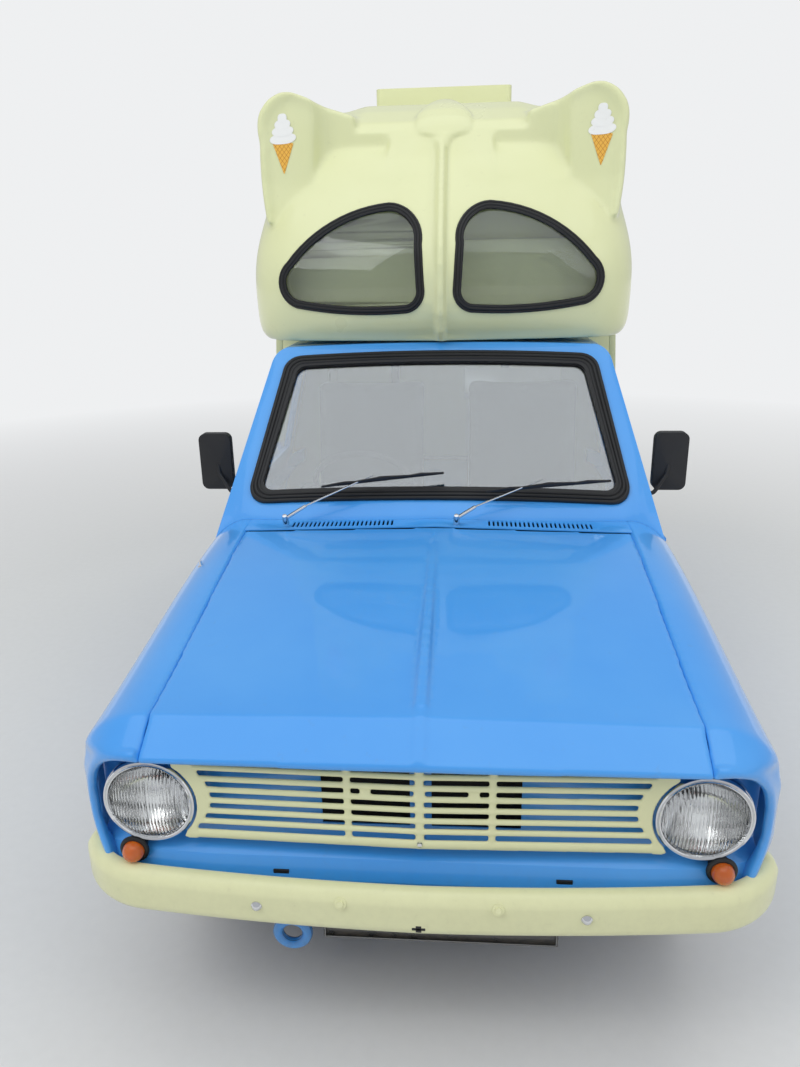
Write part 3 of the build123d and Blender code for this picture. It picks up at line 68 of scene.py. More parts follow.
def place_camera():
    """Camera as fitted to the photograph."""
    bpy.ops.object.camera_add(location=CAMERA_PLACE)
    camera = bpy.context.object
    camera.name = "camera"
    turn = Matrix.Rotation(radians(CAMERA_YAW), 4, "Z")
    tilt = Matrix.Rotation(radians(90 - CAMERA_PITCH), 4, "X")
    roll = Matrix.Rotation(radians(CAMERA_ROLL), 4, "Z")
    camera.matrix_world = Matrix.Translation(CAMERA_PLACE) @ turn @ tilt @ roll
    camera.data.sensor_fit = "VERTICAL"
    camera.data.sensor_height = SENSOR
    camera.data.lens = SENSOR * PHOTO_FOCAL / PHOTO_SIZE[1]
    camera.data.clip_start = 0.02
    camera.data.clip_end = 400
    bpy.context.scene.camera = camera


# Node helpers: a small vocabulary for building materials
def feed(tree, socket, value):
    """Set a socket to a value, or link another node's socket to it."""
    if isinstance(value, bpy.types.NodeSocket):
        tree.links.new(value, socket)
    else:
        socket.default_value = value


def set_inputs(tree, node, **inputs):
    """Feed a node's sockets by name, with _ for a space."""
    for name, value in inputs.items():
        feed(tree, node.inputs[name.replace("_", " ")], value)
    return node


def put(tree, kind, **inputs):
    """Add a shader node and feed its sockets."""
    return set_inputs(tree, tree.nodes.new(kind), **inputs)


def place_of(tree):
    """Object coordinates, the place on the vehicle."""
    return tree.nodes.new("ShaderNodeTexCoord").outputs["Object"]


def math_node(tree, operation, *values):
    """Math node on numbers or sockets."""
    node = tree.nodes.new("ShaderNodeMath")
    node.operation = operation
    for socket, value in zip(node.inputs, values):
        feed(tree, socket, value)
    return node.outputs[0]


def mix_colour(tree, amount, low, high):
    """Colour between two, by a factor."""
    node = tree.nodes.new("ShaderNodeMix")
    node.data_type = "RGBA"
    for index, value in ((0, amount), (6, low), (7, high)):
        feed(tree, node.inputs[index], value)
    return node.outputs[2]


def spread(tree, value, low, high):
    """Stretch a value from low..high to 0..1, kept between them."""
    node = put(tree, "ShaderNodeMapRange", Value=value, From_Min=low, From_Max=high, To_Min=0.0, To_Max=1.0)
    return node.outputs["Result"]


def new_group(name, inputs, outputs):
    """Shader node group with named sockets."""
    group = bpy.data.node_groups.new(name, "ShaderNodeTree")
    for socket_name, kind, default in inputs:
        socket = group.interface.new_socket(socket_name, in_out="INPUT", socket_type=kind)
        socket.default_value = default
    for socket_name, kind in outputs:
        group.interface.new_socket(socket_name, in_out="OUTPUT", socket_type=kind)
    enter = group.nodes.new("NodeGroupInput")
    leave = group.nodes.new("NodeGroupOutput")
    return group, enter.outputs, leave.inputs


FLOAT = "NodeSocketFloat"
COLOUR = "NodeSocketColor"
VECTOR = "NodeSocketVector"
ROAD_DIRT = (0.16, 0.13, 0.10, 1)


def make_surface_group():
    """Fine texture over broad unevenness, as a normal."""
    group, given, out = new_group(
        "uneven_surface",
        [("Fine Scale", FLOAT, 400.0), ("Fine Height", FLOAT, 0.00005),
         ("Broad Scale", FLOAT, 5.0), ("Broad Height", FLOAT, 0.001)],
        [("Normal", VECTOR)],
    )
    where = place_of(group)
    fine = put(group, "ShaderNodeTexNoise", Vector=where, Scale=given["Fine Scale"], Detail=2.0)
    broad = put(group, "ShaderNodeTexNoise", Vector=where, Scale=given["Broad Scale"], Detail=1.0)
    height = math_node(
        group, "ADD",
        math_node(group, "MULTIPLY", fine.outputs[0], given["Fine Height"]),
        math_node(group, "MULTIPLY", broad.outputs[0], given["Broad Height"]),
    )
    bump = put(group, "ShaderNodeBump", Strength=1.0, Distance=1.0, Height=height)
    group.links.new(bump.outputs[0], out["Normal"])
    return group


def make_age_group():
    """Uneven fading, faint grime in patches and road dirt that thickens towards the ground."""
    group, given, out = new_group(
        "age_and_dirt",
        [("Color", COLOUR, (0.5, 0.5, 0.5, 1)), ("Faded", COLOUR, (0.6, 0.6, 0.6, 1)),
         ("Fade Scale", FLOAT, 3.0), ("Fade", FLOAT, 0.3), ("Dirt", FLOAT, 0.3),
         ("Dirt Height", FLOAT, 0.5), ("Roughness", FLOAT, 0.3)],
        [("Color", COLOUR), ("Roughness", FLOAT)],
    )
    where = place_of(group)
    clouds = put(group, "ShaderNodeTexNoise", Vector=where, Scale=given["Fade Scale"], Detail=4.0)
    fading = math_node(group, "MULTIPLY", spread(group, clouds.outputs[0], 0.35, 0.7), given["Fade"])
    faded = mix_colour(group, fading, given["Color"], given["Faded"])
    height = put(group, "ShaderNodeSeparateXYZ", Vector=where).outputs["Z"]
    low = math_node(group, "DIVIDE", height, given["Dirt Height"])
    near_ground = math_node(group, "SUBTRACT", 1.0, low)
    near_ground = math_node(group, "MAXIMUM", near_ground, 0.0)
    specks = put(group, "ShaderNodeTexNoise", Vector=where, Scale=38.0, Detail=6.0, Roughness=0.7)
    broken = spread(group, specks.outputs[0], 0.38, 0.62)
    dirt = math_node(group, "MULTIPLY", math_node(group, "MULTIPLY", near_ground, broken), given["Dirt"])
    dust = math_node(group, "MULTIPLY", spread(group, specks.outputs[0], 0.62, 0.78), 0.12)
    cover = math_node(group, "MINIMUM", math_node(group, "ADD", dirt, dust), 1.0)
    dirty = mix_colour(group, cover, faded, ROAD_DIRT)
    group.links.new(dirty, out["Color"])
    rough = math_node(group, "ADD", given["Roughness"], math_node(group, "MULTIPLY", cover, 0.5))
    rough = math_node(group, "ADD", rough, math_node(group, "MULTIPLY", fading, 0.12))
    group.links.new(rough, out["Roughness"])
    return group


SURFACE = make_surface_group()
AGE = make_age_group()


def new_material(name):
    """Empty material with its Principled shader and tree."""
    material = bpy.data.materials.new(name)
    material.use_nodes = True
    tree = material.node_tree
    return material, tree, tree.nodes["Principled BSDF"]


def rgb(red, green, blue):
    """Linear colour from display values of 0 to 255."""
    def linear(value):
        share = value / 255
        return share / 12.92 if share <= 0.04045 else ((share + 0.055) / 1.055) ** 2.4
    return (linear(red), linear(green), linear(blue), 1.0)


def use_group(tree, group, **inputs):
    """Place a node group with its own values."""
    node = tree.nodes.new("ShaderNodeGroup")
    node.node_tree = group
    return set_inputs(tree, node, **inputs)


def finished(name, colour, faded=None, roughness=0.4, metallic=0.0, coat=0.0, fade=0.3, dirt=0.3,
             dirt_height=0.5, fine=(400.0, 0.00003), broad=(4.0, 0.0006), specular=0.5):
    """Painted, moulded or bare surface with fading, dirt and an uneven skin."""
    material, tree, shader = new_material(name)
    faded = faded or tuple(0.75 * c + 0.05 for c in colour[:3]) + (1.0,)
    age = use_group(tree, AGE, Color=colour, Faded=faded, Fade=fade, Dirt=dirt, Dirt_Height=dirt_height,
                    Roughness=roughness)
    skin = use_group(tree, SURFACE, Fine_Scale=fine[0], Fine_Height=fine[1], Broad_Scale=broad[0],
                     Broad_Height=broad[1])
    set_inputs(tree, shader, Base_Color=age.outputs["Color"], Roughness=age.outputs["Roughness"],
               Normal=skin.outputs["Normal"], Metallic=metallic, Coat_Weight=coat, Coat_Roughness=0.04,
               Specular_IOR_Level=specular)
    return material


def clear_glass(name, tint_and_shade, mirror=1.45, coat=0.0):
    """Glass with a full reflection; a higher mirror value and a coat reflect more of the sky. A grey tint
    darkens what shows through it, as painted shade.
    """
    material, tree, shader = new_material(name)
    skin = use_group(tree, SURFACE, Fine_Scale=60.0, Fine_Height=0.000002, Broad_Scale=3.0,
                     Broad_Height=0.0002)
    set_inputs(tree, shader, Base_Color=tint_and_shade, Transmission_Weight=1.0, Roughness=0.0, IOR=mirror,
               Coat_Weight=coat, Coat_IOR=2.2, Coat_Roughness=0.01, Normal=skin.outputs["Normal"])
    return material


BLUE = rgb(62, 152, 232)
CREAM = rgb(226, 229, 182)
BUMPER_CREAM = rgb(224, 225, 180)

MATERIALS = {
    "body_blue": finished("blue_paint", BLUE, faded=rgb(84, 165, 236), roughness=0.28, coat=0.7, fade=0.5,
                          dirt=0.35, dirt_height=0.55, fine=(500.0, 0.00001), broad=(5.0, 0.0022)),
    "cream_moulding": finished("cream_gelcoat", CREAM, faded=rgb(220, 223, 168), roughness=0.27, coat=0.4,
                               fade=0.5, dirt=0.25, dirt_height=0.6, fine=(300.0, 0.00002),
                               broad=(4.0, 0.002)),
    "cream_paint": finished("cream_paint", BUMPER_CREAM, faded=rgb(217, 216, 168), roughness=0.35, coat=0.3,
                            fade=0.3, dirt=0.16, dirt_height=0.62, fine=(500.0, 0.00002),
                            broad=(8.0, 0.0006)),
    "chassis_black": finished("chassis_paint", rgb(30, 30, 31), roughness=0.55, dirt=0.8, dirt_height=0.6),
    "dark_metal": finished("oily_iron", rgb(58, 56, 54), roughness=0.5, metallic=0.6, dirt=0.7,
                           dirt_height=0.8, fine=(700.0, 0.0002)),
    "bright_metal": finished("chrome_plate", rgb(225, 226, 228), roughness=0.07, metallic=1.0, fade=0.15,
                             dirt=0.2, dirt_height=0.7, fine=(500.0, 0.000004), broad=(20.0, 0.0002)),
    "wheel_paint": finished("wheel_paint", rgb(206, 207, 202), roughness=0.4, metallic=0.3, dirt=0.8,
                            dirt_height=0.7),
    "tyre_rubber": finished("tyre_rubber", rgb(33, 33, 34), faded=rgb(60, 58, 55), roughness=0.8, dirt=0.5,
                            dirt_height=0.4, fine=(900.0, 0.0002), specular=0.3),
    "seal_rubber": finished("seal_rubber", rgb(18, 18, 20), faded=rgb(48, 48, 50), roughness=0.45, dirt=0.2,
                            fine=(800.0, 0.00008)),
    # Grey window tint: painted shade for the dim inside seen through the windows
    "clear_glass": clear_glass("window_glass", (0.66, 0.70, 0.71, 1), 1.5, 0.1),
    "lamp_glass": clear_glass("lamp_glass", (0.95, 0.96, 0.96, 1)),
    "black_plastic": finished("grained_plastic", rgb(26, 26, 28), faded=rgb(52, 52, 55), roughness=0.5,
                              fine=(1200.0, 0.00015)),
    "seat_vinyl": finished("seat_vinyl", rgb(34, 33, 35), faded=rgb(58, 56, 56), roughness=0.45, fade=0.6,
                           fine=(700.0, 0.00006)),
    "plate_black": finished("plate_black", rgb(14, 14, 15), roughness=0.25, coat=0.5, dirt=0.5,
                            dirt_height=0.7),
    "white_panel": finished("white_enamel", rgb(226, 228, 228), roughness=0.3, coat=0.3, dirt=0.1),
    "bare_steel": finished("dull_steel", rgb(150, 150, 150), roughness=0.35, metallic=0.9, dirt=0.4),
}


def lens_material(name, colour):
    """Coloured plastic lens that lets some light through."""
    material, tree, shader = new_material(name)
    age = use_group(tree, AGE, Color=colour, Faded=tuple(0.6 * c for c in colour[:3]) + (1.0,), Fade=0.5,
                    Dirt=0.2, Dirt_Height=0.7, Roughness=0.12)
    set_inputs(tree, shader, Base_Color=age.outputs["Color"], Roughness=age.outputs["Roughness"],
               Subsurface_Weight=0.4, Subsurface_Radius=(0.02, 0.008, 0.004), Coat_Weight=0.5)
    return material


MATERIALS["amber_lens"] = lens_material("amber_lens", rgb(206, 100, 26))
MATERIALS["red_lens"] = lens_material("red_lens", rgb(170, 22, 18))

for part in frame["record"]["subparts"]:
    node = NODES[part["node"]]
    for material_slot in node.material_slots:
        material_slot.material = MATERIALS[part["material_slot"]]
# Grey windscreen tint: painted shade for the dim cab seen through it
for material_slot in NODES["windscreen"].material_slots:
    material_slot.material = clear_glass("windscreen_glass", (0.62, 0.67, 0.70, 1), 1.75, 1.0)


# Modelling helpers
def only(obj):
    """Make one object the whole selection."""
    bpy.ops.object.select_all(action="DESELECT")
    obj.select_set(True)
    bpy.context.view_layer.objects.active = obj


def settle(obj):
    """Put an object's place, turn and scale into its mesh."""
    only(obj)
    bpy.ops.object.transform_apply(location=True, rotation=True, scale=True)


def apply_modifier(obj, kind, **values):
    """Add a modifier and apply it."""
    only(obj)
    modifier = obj.modifiers.new(kind.lower(), kind)
    for name, value in values.items():
        setattr(modifier, name, value)
    bpy.ops.object.modifier_apply(modifier=modifier.name)


def edit_all(piece, action, **values):
    """Run an edit-mode mesh operator on everything in a piece."""
    only(piece)
    bpy.ops.object.mode_set(mode="EDIT")
    bpy.ops.mesh.select_all(action="SELECT")
    action(**values)
    bpy.ops.object.mode_set(mode="OBJECT")


def normals_out(piece):
    """Turn all faces outwards."""
    edit_all(piece, bpy.ops.mesh.normals_make_consistent, inside=False)


def normals_ahead(piece):
    """Turn an open surface to face the front."""
    if sum(face.normal.y for face in piece.data.polygons) > 0:
        piece.data.flip_normals()


def smooth(obj, angle):
    """Smooth shading with edges sharper than an angle kept."""
    only(obj)
    bpy.ops.object.shade_smooth_by_angle(angle=radians(angle))


def all_smooth(obj):
    """Smooth shading over every edge."""
    only(obj)
    bpy.ops.object.shade_smooth()


def eased(piece, width, angle):
    """Round the edges that are sharper than an angle."""
    apply_modifier(piece, "BEVEL", width=width, segments=2, limit_method="ANGLE", angle_limit=radians(angle))


def voxelled(piece, size):
    """Fuse a piece's forms into one skin of even faces."""
    apply_modifier(piece, "REMESH", mode="VOXEL", voxel_size=size)


def relaxed(piece, rounds, group=""):
    """Smooth a skin, all of it or as far as a vertex group says."""
    apply_modifier(piece, "SMOOTH", factor=0.5, iterations=rounds, vertex_group=group)


def ramp(distance, length):
    """How far a distance is along a length, kept from 0 to 1."""
    return min(1.0, max(0.0, distance / length))


def relaxed_where(piece, name, weight, rounds):
    """Smooth a skin where the weight of a place says so."""
    group = piece.vertex_groups.new(name=name)
    for vertex in piece.data.vertices:
        group.add([vertex.index], weight(vertex.co), "REPLACE")
    relaxed(piece, rounds, name)


def new_piece(name, data):
    """New object in the scene."""
    piece = bpy.data.objects.new(name, data)
    bpy.context.scene.collection.objects.link(piece)
    return piece


def cad_copy(node, name):
    """Merged copy of a CAD node's mesh, to be finished and shown in its place."""
    piece = new_piece(name, NODES[node].data.copy())
    edit_all(piece, bpy.ops.mesh.remove_doubles, threshold=0.00002)
    return piece


def dress(piece, slot, body="van", material=None):
    """Give a finished piece the material of its record slot, or a given one, and its body."""
    piece.data.materials.clear()
    piece.data.materials.append(material or MATERIALS[slot])
    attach(piece, body)


def softened(node, slot, body, width):
    """CAD piece shown with its edges rounded and its curves smooth."""
    piece = cad_copy(node, node + "_finished")
    if node in BODY_NODES:
        drawn_in(piece)
    eased(piece, width, 30)
    smooth(piece, 40)
    dress(piece, slot, body)
    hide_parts(node)


# Outlines and turned forms
def arc_points(start, middle, end, count):
    """Points along the circle through three points, without the last."""
    (ax, ay), (bx, by), (cx, cy) = start, middle, end
    scale = 2 * (ax * (by - cy) + bx * (cy - ay) + cx * (ay - by))
    a2, b2, c2 = ax * ax + ay * ay, bx * bx + by * by, cx * cx + cy * cy
    centre = Vector(((a2 * (by - cy) + b2 * (cy - ay) + c2 * (ay - by)) / scale,
                     (a2 * (cx - bx) + b2 * (ax - cx) + c2 * (bx - ax)) / scale))
    first = Vector(start) - centre
    turn = first.angle_signed(Vector(end) - centre)
    half = first.angle_signed(Vector(middle) - centre)
    if turn * half < 0:
        turn += 2 * pi if half > 0 else -2 * pi
    arms = [Matrix.Rotation(-turn * step / count, 2) @ first for step in range(count)]
    return [tuple(centre + arm) for arm in arms]


def grown(outline, amount):
    """Closed outline moved outwards, along the normal at each point."""
    moved = []
    total = sum(x0 * y1 - x1 * y0 for (x0, y0), (x1, y1) in zip(outline, outline[1:] + outline[:1]))
    side = 1 if total > 0 else -1
    for index, here in enumerate(outline):
        before, after = Vector(outline[index - 1]), Vector(outline[(index + 1) % len(outline)])
        along = (after - before).normalized()
        moved.append(tuple(Vector(here) + side * amount * Vector((along.y, -along.x))))
    return moved


def mesh_piece(name, points, faces=(), edges=()):
    """New object from points."""
    mesh = bpy.data.meshes.new(name)
    mesh.from_pydata([tuple(point) for point in points], list(edges), list(faces))
    return new_piece(name, mesh)


def turned(name, profile, centre, axis=(0, -1, 0), steps=48):
    """Lathe work: (distance along the axis, radius) points spun about an axis through a centre."""
    axis = Vector(axis).normalized()
    side = axis.orthogonal().normalized()
    centre = Vector(centre)
    points = [centre + axis * along + side * radius for along, radius in profile]
    piece = mesh_piece(name, points, edges=[(i, i + 1) for i in range(len(points) - 1)])
    edit_all(piece, bpy.ops.mesh.spin, steps=steps, angle=2 * pi, center=centre, axis=axis)
    edit_all(piece, bpy.ops.mesh.remove_doubles, threshold=0.00005)
    normals_out(piece)
    smooth(piece, 40)
    return piece


def tube(name, points, radius, closed=False, sides=3):
    """Round bar along points."""
    curve = bpy.data.curves.new(name, "CURVE")
    curve.dimensions = "3D"
    curve.bevel_depth = radius
    curve.bevel_resolution = sides
    curve.use_fill_caps = not closed
    spline = curve.splines.new("POLY")
    spline.points.add(len(points) - 1)
    for knot, place in zip(spline.points, points):
        knot.co = (*place, 1)
    spline.use_cyclic_u = closed
    piece = new_piece(name, curve)
    only(piece)
    bpy.ops.object.convert(target="MESH")
    smooth(piece, 50)
    return piece


def joined(name, pieces):
    """Several meshes as one piece."""
    bpy.ops.object.select_all(action="DESELECT")
    for piece in pieces:
        piece.select_set(True)
    bpy.context.view_layer.objects.active = pieces[0]
    bpy.ops.object.join()
    pieces[0].name = name
    return pieces[0]


def rounded_box(name, low, high, radius=0.004):
    """Box between two corners with rounded edges."""
    low, high = Vector(low), Vector(high)
    bpy.ops.mesh.primitive_cube_add(size=1, location=(low + high) / 2)
    piece = bpy.context.object
    piece.name = name
    piece.scale = high - low
    settle(piece)
    apply_modifier(piece, "BEVEL", width=radius, segments=3)
    smooth(piece, 50)
    return piece


def ray_on(piece, x, z):
    """Y where a line along +Y first meets a piece."""
    hit, place, _, _ = piece.ray_cast(Vector((x, -3.0, z)), Vector((0, 1, 0)))
    return place.y if hit else None


def blended(piece, voxel, rounds, keep_share):
    """Run a piece's forms into each other: fine voxels, smoothing, then fewer faces."""
    voxelled(piece, voxel)
    relaxed(piece, rounds)
    apply_modifier(piece, "DECIMATE", ratio=keep_share)
    all_smooth(piece)


def tangent_arc(start, heading, end, count):
    """Points along the circle that leaves start along heading and meets end, without the last."""
    start, end, heading = Vector(start), Vector(end), Vector(heading).normalized()
    normal = Vector((-heading.y, heading.x))
    reach = end - start
    radius = reach.length_squared / (2 * reach.dot(normal))
    centre = start + normal * radius
    arm = start - centre
    turn = 2 * heading.angle_signed(reach.normalized())
    return [tuple(centre + Matrix.Rotation(-turn * step / count, 2) @ arm) for step in range(count)]


def skinned(name, rows, closed=False):
    """Surface over rows of points; closed joins the ends of each row."""
    count = len(rows[0])
    points = [point for row in rows for point in row]
    faces = []
    for row in range(len(rows) - 1):
        for index in range(count if closed else count - 1):
            here, there = row * count + index, row * count + (index + 1) % count
            faces.append((here, there, there + count, here + count))
    return mesh_piece(name, points, faces)


def aimed_box(name, start, end, width, height, radius=0.002):
    """Rounded bar from one point to another."""
    start, end = Vector(start), Vector(end)
    corner = Vector((width / 2, height / 2, 0))
    piece = rounded_box(name, -corner, corner + Vector((0, 0, (end - start).length)), radius)
    turn = (end - start).to_track_quat("Z", "Y").to_matrix().to_4x4()
    piece.data.transform(Matrix.Translation(start) @ turn)
    return piece


# Overcab pod: the moulding's forms run into each other in soft fillets
POD_BACK = y_at(2.200)
POD_BOTTOM = 1.4545
POD_RUN_ON = 0.030
POD_WALL = 0.005
POD_VOXEL = 0.0065
POD_FINE_VOXEL = 0.0055
POD_KEEP = 0.15
FLANGE_MIDDLE = 1.840
FLANGE_SHARES = (0.84, 0.82)
TEARDROP = [((0.076, 1.770), (0.104, 1.858), (0.170, 1.887)),
            ((0.170, 1.887), (0.376, 1.824), (0.512, 1.708)),
            ((0.512, 1.708), (0.537, 1.640), (0.492, 1.589)),
            ((0.492, 1.589), (0.310, 1.568), (0.120, 1.570)),
            ((0.120, 1.570), (0.080, 1.588), (0.068, 1.630))]


def teardrop(side):
    """Pod window outline, for the left (1) or right (-1) half."""
    points = []
    for start, middle, end in TEARDROP:
        points += arc_points(start, middle, end, 12)
    points.append(TEARDROP[-1][2])
    return [(side * x, z) for x, z in points]


def prism(outline, low, high, axis="y"):
    """Closed prism over an outline of two coordinates, run along the third between two values."""
    points = []
    for value in (low, high):
        points += [(value, a, b) if axis == "x" else (a, value, b) for a, b in outline]
    count = len(outline)
    sides = [(i, (i + 1) % count, (i + 1) % count + count, i + count) for i in range(count)]
    solid = mesh_piece("prism", points, sides + [tuple(range(count)), tuple(range(count, 2 * count))])
    normals_out(solid)
    return solid


def cut_away(piece, cutter):
    """Take a closed form out of a piece."""
    apply_modifier(piece, "BOOLEAN", operation="DIFFERENCE", object=cutter, solver="FAST")
    bpy.data.objects.remove(cutter)


# Rows of the tables: spine (station, z), spade (station, z, half width, height), shoulders (x, four values
# of y from low to high), foot (x, two values of y), recess and floor (x or z, station or fall)
SPINE = [(1.580, 1.458), (1.566, 1.470), (1.539, 1.500), (1.513, 1.555), (1.505, 1.615), (1.510, 1.700),
         (1.528, 1.755), (1.553, 1.800), (1.585, 1.850), (1.621, 1.900), (1.659, 1.950), (1.698, 2.000),
         (1.721, 2.030), (1.747, 2.062), (1.776, 2.096), (1.800, 2.125)]
SPADE = [(1.764, 2.078, 0.020, 0.020), (1.782, 2.100, 0.026, 0.023), (1.794, 2.116, 0.046, 0.026),
         (1.802, 2.130, 0.094, 0.024), (1.812, 2.146, 0.104, 0.026), (1.832, 2.172, 0.103, 0.028),
         (1.862, 2.198, 0.098, 0.029), (1.898, 2.219, 0.086, 0.028), (1.934, 2.236, 0.068, 0.026),
         (1.962, 2.250, 0.046, 0.022), (1.982, 2.258, 0.020, 0.014)]
SPADE_X = 0.011
RECESS_ENDS = [(0.188, 1.806), (0.370, 1.806), (0.400, 1.800), (0.428, 1.775), (0.462, 1.700)]
RECESS_FLOOR = [(1.950, 1.664), (2.000, 1.696), (2.050, 1.737), (2.100, 1.790)]
FLOOR_FALL = [(1.950, 0.156), (2.000, 0.189), (2.050, 0.178), (2.100, 0.089)]
SHOULDERS = [(0.180, -0.306, -0.284, -0.252, -0.206), (0.240, -0.300, -0.276, -0.243, -0.200),
             (0.300, -0.290, -0.268, -0.236, -0.195), (0.360, -0.279, -0.256, -0.228, -0.190),
             (0.420, -0.264, -0.243, -0.218, -0.186), (0.470, -0.250, -0.229, -0.206, -0.182)]
POD_CROWN = [(1.800, 2.140), (1.832, 2.180), (1.920, 2.229), (2.000, 2.262), (2.192, 2.283), (2.192, 2.140)]
CROWN_ROWS = [(-0.430, -0.070), (-0.360, -0.020), (-0.280, 0.0), (0.280, 0.0), (0.360, -0.020),
              (0.430, -0.070)]
POD_FOOT = [(0.0, -0.390, -0.414), (0.12, -0.377, -0.401), (0.24, -0.366, -0.390), (0.36, -0.351, -0.371),
            (0.48, -0.330, -0.346), (0.60, -0.281, -0.298)]
POD_RAMP = [(1.690, 1.985), (1.732, 2.038), (1.804, 2.150), (1.836, 2.186), (1.900, 2.100), (1.760, 1.985)]


def filled(name, rows, sides=40):
    """Closed solid through rings of points."""
    solid = skinned(name, rows, closed=True)
    edit_all(solid, bpy.ops.mesh.fill_holes, sides=sides)
    normals_out(solid)
    return solid


def pod_fillers():
    """Forms that carry the bulge up to the recess, the bridge up to the crown, and the crown itself."""
    crown = [[(x, y_at(station), z + drop) for station, z in POD_CROWN] for x, drop in CROWN_ROWS]
    fillers = [prism([(y_at(station), z) for station, z in POD_RAMP], -0.178, 0.184, "x"),
               filled("crown", crown),
               rounded_box("core", (-0.600, -0.270, 1.4535), (0.600, 0.235, 1.790)),
               rounded_box("core", (-0.420, -0.220, 1.780), (0.420, 0.235, 1.960))]
    foot = [[(x, low, 1.4500), (x, low, 1.470), (x, high, 1.502), (x, high + 0.008, 1.550),
             (x, -0.240, 1.550), (x, -0.240, 1.4500)] for x, low, high in POD_FOOT]
    fillers.append(filled("foot", [[(-x, y, z) for x, y, z in row] for row in foot[:0:-1]] + foot))
    for side in (1, -1):
        rows = []
        for x, low, high, third, fourth in SHOULDERS:
            points = [(low, 1.895), (high, 1.945), (third, 1.998), (fourth, 2.050), (-0.156, 2.094),
                      (y_at(1.850), 2.094), (y_at(1.850), 1.895)]
            rows.append([(side * x, y, z) for y, z in points])
        fillers.append(filled("shoulder", rows))
    return fillers


def between(table, value):
    """Second column of a table at a value of its first."""
    for (a0, b0), (a1, b1) in zip(table, table[1:]):
        if value <= a1:
            return b0 + (b1 - b0) * max(0.0, value - a0) / (a1 - a0)
    return table[-1][1]


def pressed_in(solid):
    """Push the moulding's front back to the wall of the recess between each ear and the bridge."""
    for vertex in solid.data.vertices:
        x, z = abs(vertex.co.x), vertex.co.z
        if RECESS_ENDS[0][0] < x < RECESS_ENDS[-1][0] and z > RECESS_FLOOR[0][0]:
            floor = between(RECESS_FLOOR, z) + (x - 0.180) * between(FLOOR_FALL, z)
            wall = y_at(min(between(RECESS_ENDS, x), floor))
            vertex.co.y = max(vertex.co.y, wall)
    solid.data.update()


def outward_at(table, index):
    """Direction out of the moulding at a row of a table of (station, z, ...) values."""
    before, after = table[max(0, index - 1)], table[min(len(table) - 1, index + 1)]
    along = Vector((0, after[0] - before[0], after[1] - before[1])).normalized()
    return Vector((0, -along.z, along.y))


def make_spine():
    """Half-round rib up the middle of the pod."""
    rows = []
    for index, (station, z) in enumerate(SPINE):
        out = outward_at(SPINE, index)
        ring = []
        for step in range(20):
            angle = 2 * pi * step / 20
            place = Vector((0.006 + 0.0175 * cos(angle), y_at(station), z))
            ring.append(place + out * 0.025 * sin(angle))
        rows.append(ring)
    return filled("spine", rows)


def make_spade():
    """Raised dome above the spine, widest low down."""
    rows = []
    for index, (station, z, half, height) in enumerate(SPADE):
        out = outward_at(SPADE, index)
        ring = []
        for step in range(28):
            angle = 2 * pi * step / 28
            lift = height * abs(sin(angle)) ** 0.75 if sin(angle) > 0 else 0.014 * sin(angle)
            ring.append(Vector((SPADE_X + half * cos(angle), y_at(station), z)) + out * lift)
        rows.append(ring)
    return filled("spade", rows)


def ear_share(place):
    """How much of an ear a place on the pod is: out to the side, ahead and high up."""
    ahead = ramp(y_at(1.84) - place.y, 0.06) * ramp(place.z - 1.95, 0.08)
    return ramp(abs(place.x) - 0.37, 0.05) * ahead


def add_flange(shell):
    """Turn the open back edge of the pod inwards, behind the body's front."""
    flange = bmesh.new()
    flange.from_mesh(shell.data)
    rim = [edge for edge in flange.edges if edge.is_boundary and edge.verts[0].co.y > POD_BACK - 0.001]
    for item in bmesh.ops.extrude_edge_only(flange, edges=rim)["geom"]:
        if isinstance(item, bmesh.types.BMVert):
            rise = (item.co.z - FLANGE_MIDDLE) * FLANGE_SHARES[1]
            item.co = Vector((item.co.x * FLANGE_SHARES[0], item.co.y, FLANGE_MIDDLE + rise))
    flange.to_mesh(shell.data)
    flange.free()


def make_pod():
    """Moulded pod: solid form blended, hollowed, and cut for its two windows."""
    solid = cad_copy("overcab_pod", "pod_moulding")
    plugs = []
    for step in range(5):
        plug = cad_copy("window_glass", "plug")
        edit_all(plug, bpy.ops.mesh.bisect, plane_co=(0, POD_BACK, 0), plane_no=(0, 1, 0), clear_outer=True)
        plug.data.transform(Matrix.Translation((0, 0.0035 * step, 0)))
        plugs.append(plug)
    plugs.append(rounded_box("back", (-0.66, POD_BACK - 0.014, 1.46), (0.66, POD_BACK, 2.10), 0.002))
    solid = joined("pod_moulding", [solid] + plugs + pod_fillers())
    voxelled(solid, POD_VOXEL)
    pressed_in(solid)
    for vertex in solid.data.vertices:
        if vertex.co.y > POD_BACK - 0.004:
            vertex.co.y += POD_RUN_ON
    blended(solid, POD_VOXEL, 12, 1.0)
    relaxed_where(solid, "ears", ear_share, 24)
    solid = joined("pod_moulding", [solid, make_spine(), make_spade()])
    voxelled(solid, POD_FINE_VOXEL)
    relaxed(solid, 4)
    edit_all(solid, bpy.ops.mesh.bisect, plane_co=(0, 0, POD_BOTTOM), plane_no=(0, 0, 1), clear_inner=True,
             use_fill=True)
    apply_modifier(solid, "DECIMATE", ratio=POD_KEEP)
    all_smooth(solid)
    surface = mesh_piece("pod_surface", [])
    surface.data = solid.data.copy()
    edit_all(solid, bpy.ops.mesh.bisect, plane_co=(0, POD_BACK, 0), plane_no=(0, 1, 0), clear_outer=True)
    add_flange(solid)
    apply_modifier(solid, "SOLIDIFY", thickness=POD_WALL, offset=-1, thickness_clamp=0.5)
    for side in (1, -1):
        cut_away(solid, prism(teardrop(side), y_at(1.40), y_at(1.95)))
    smooth(solid, 50)
    dress(solid, "cream_moulding")
    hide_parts("overcab_pod")
    return surface


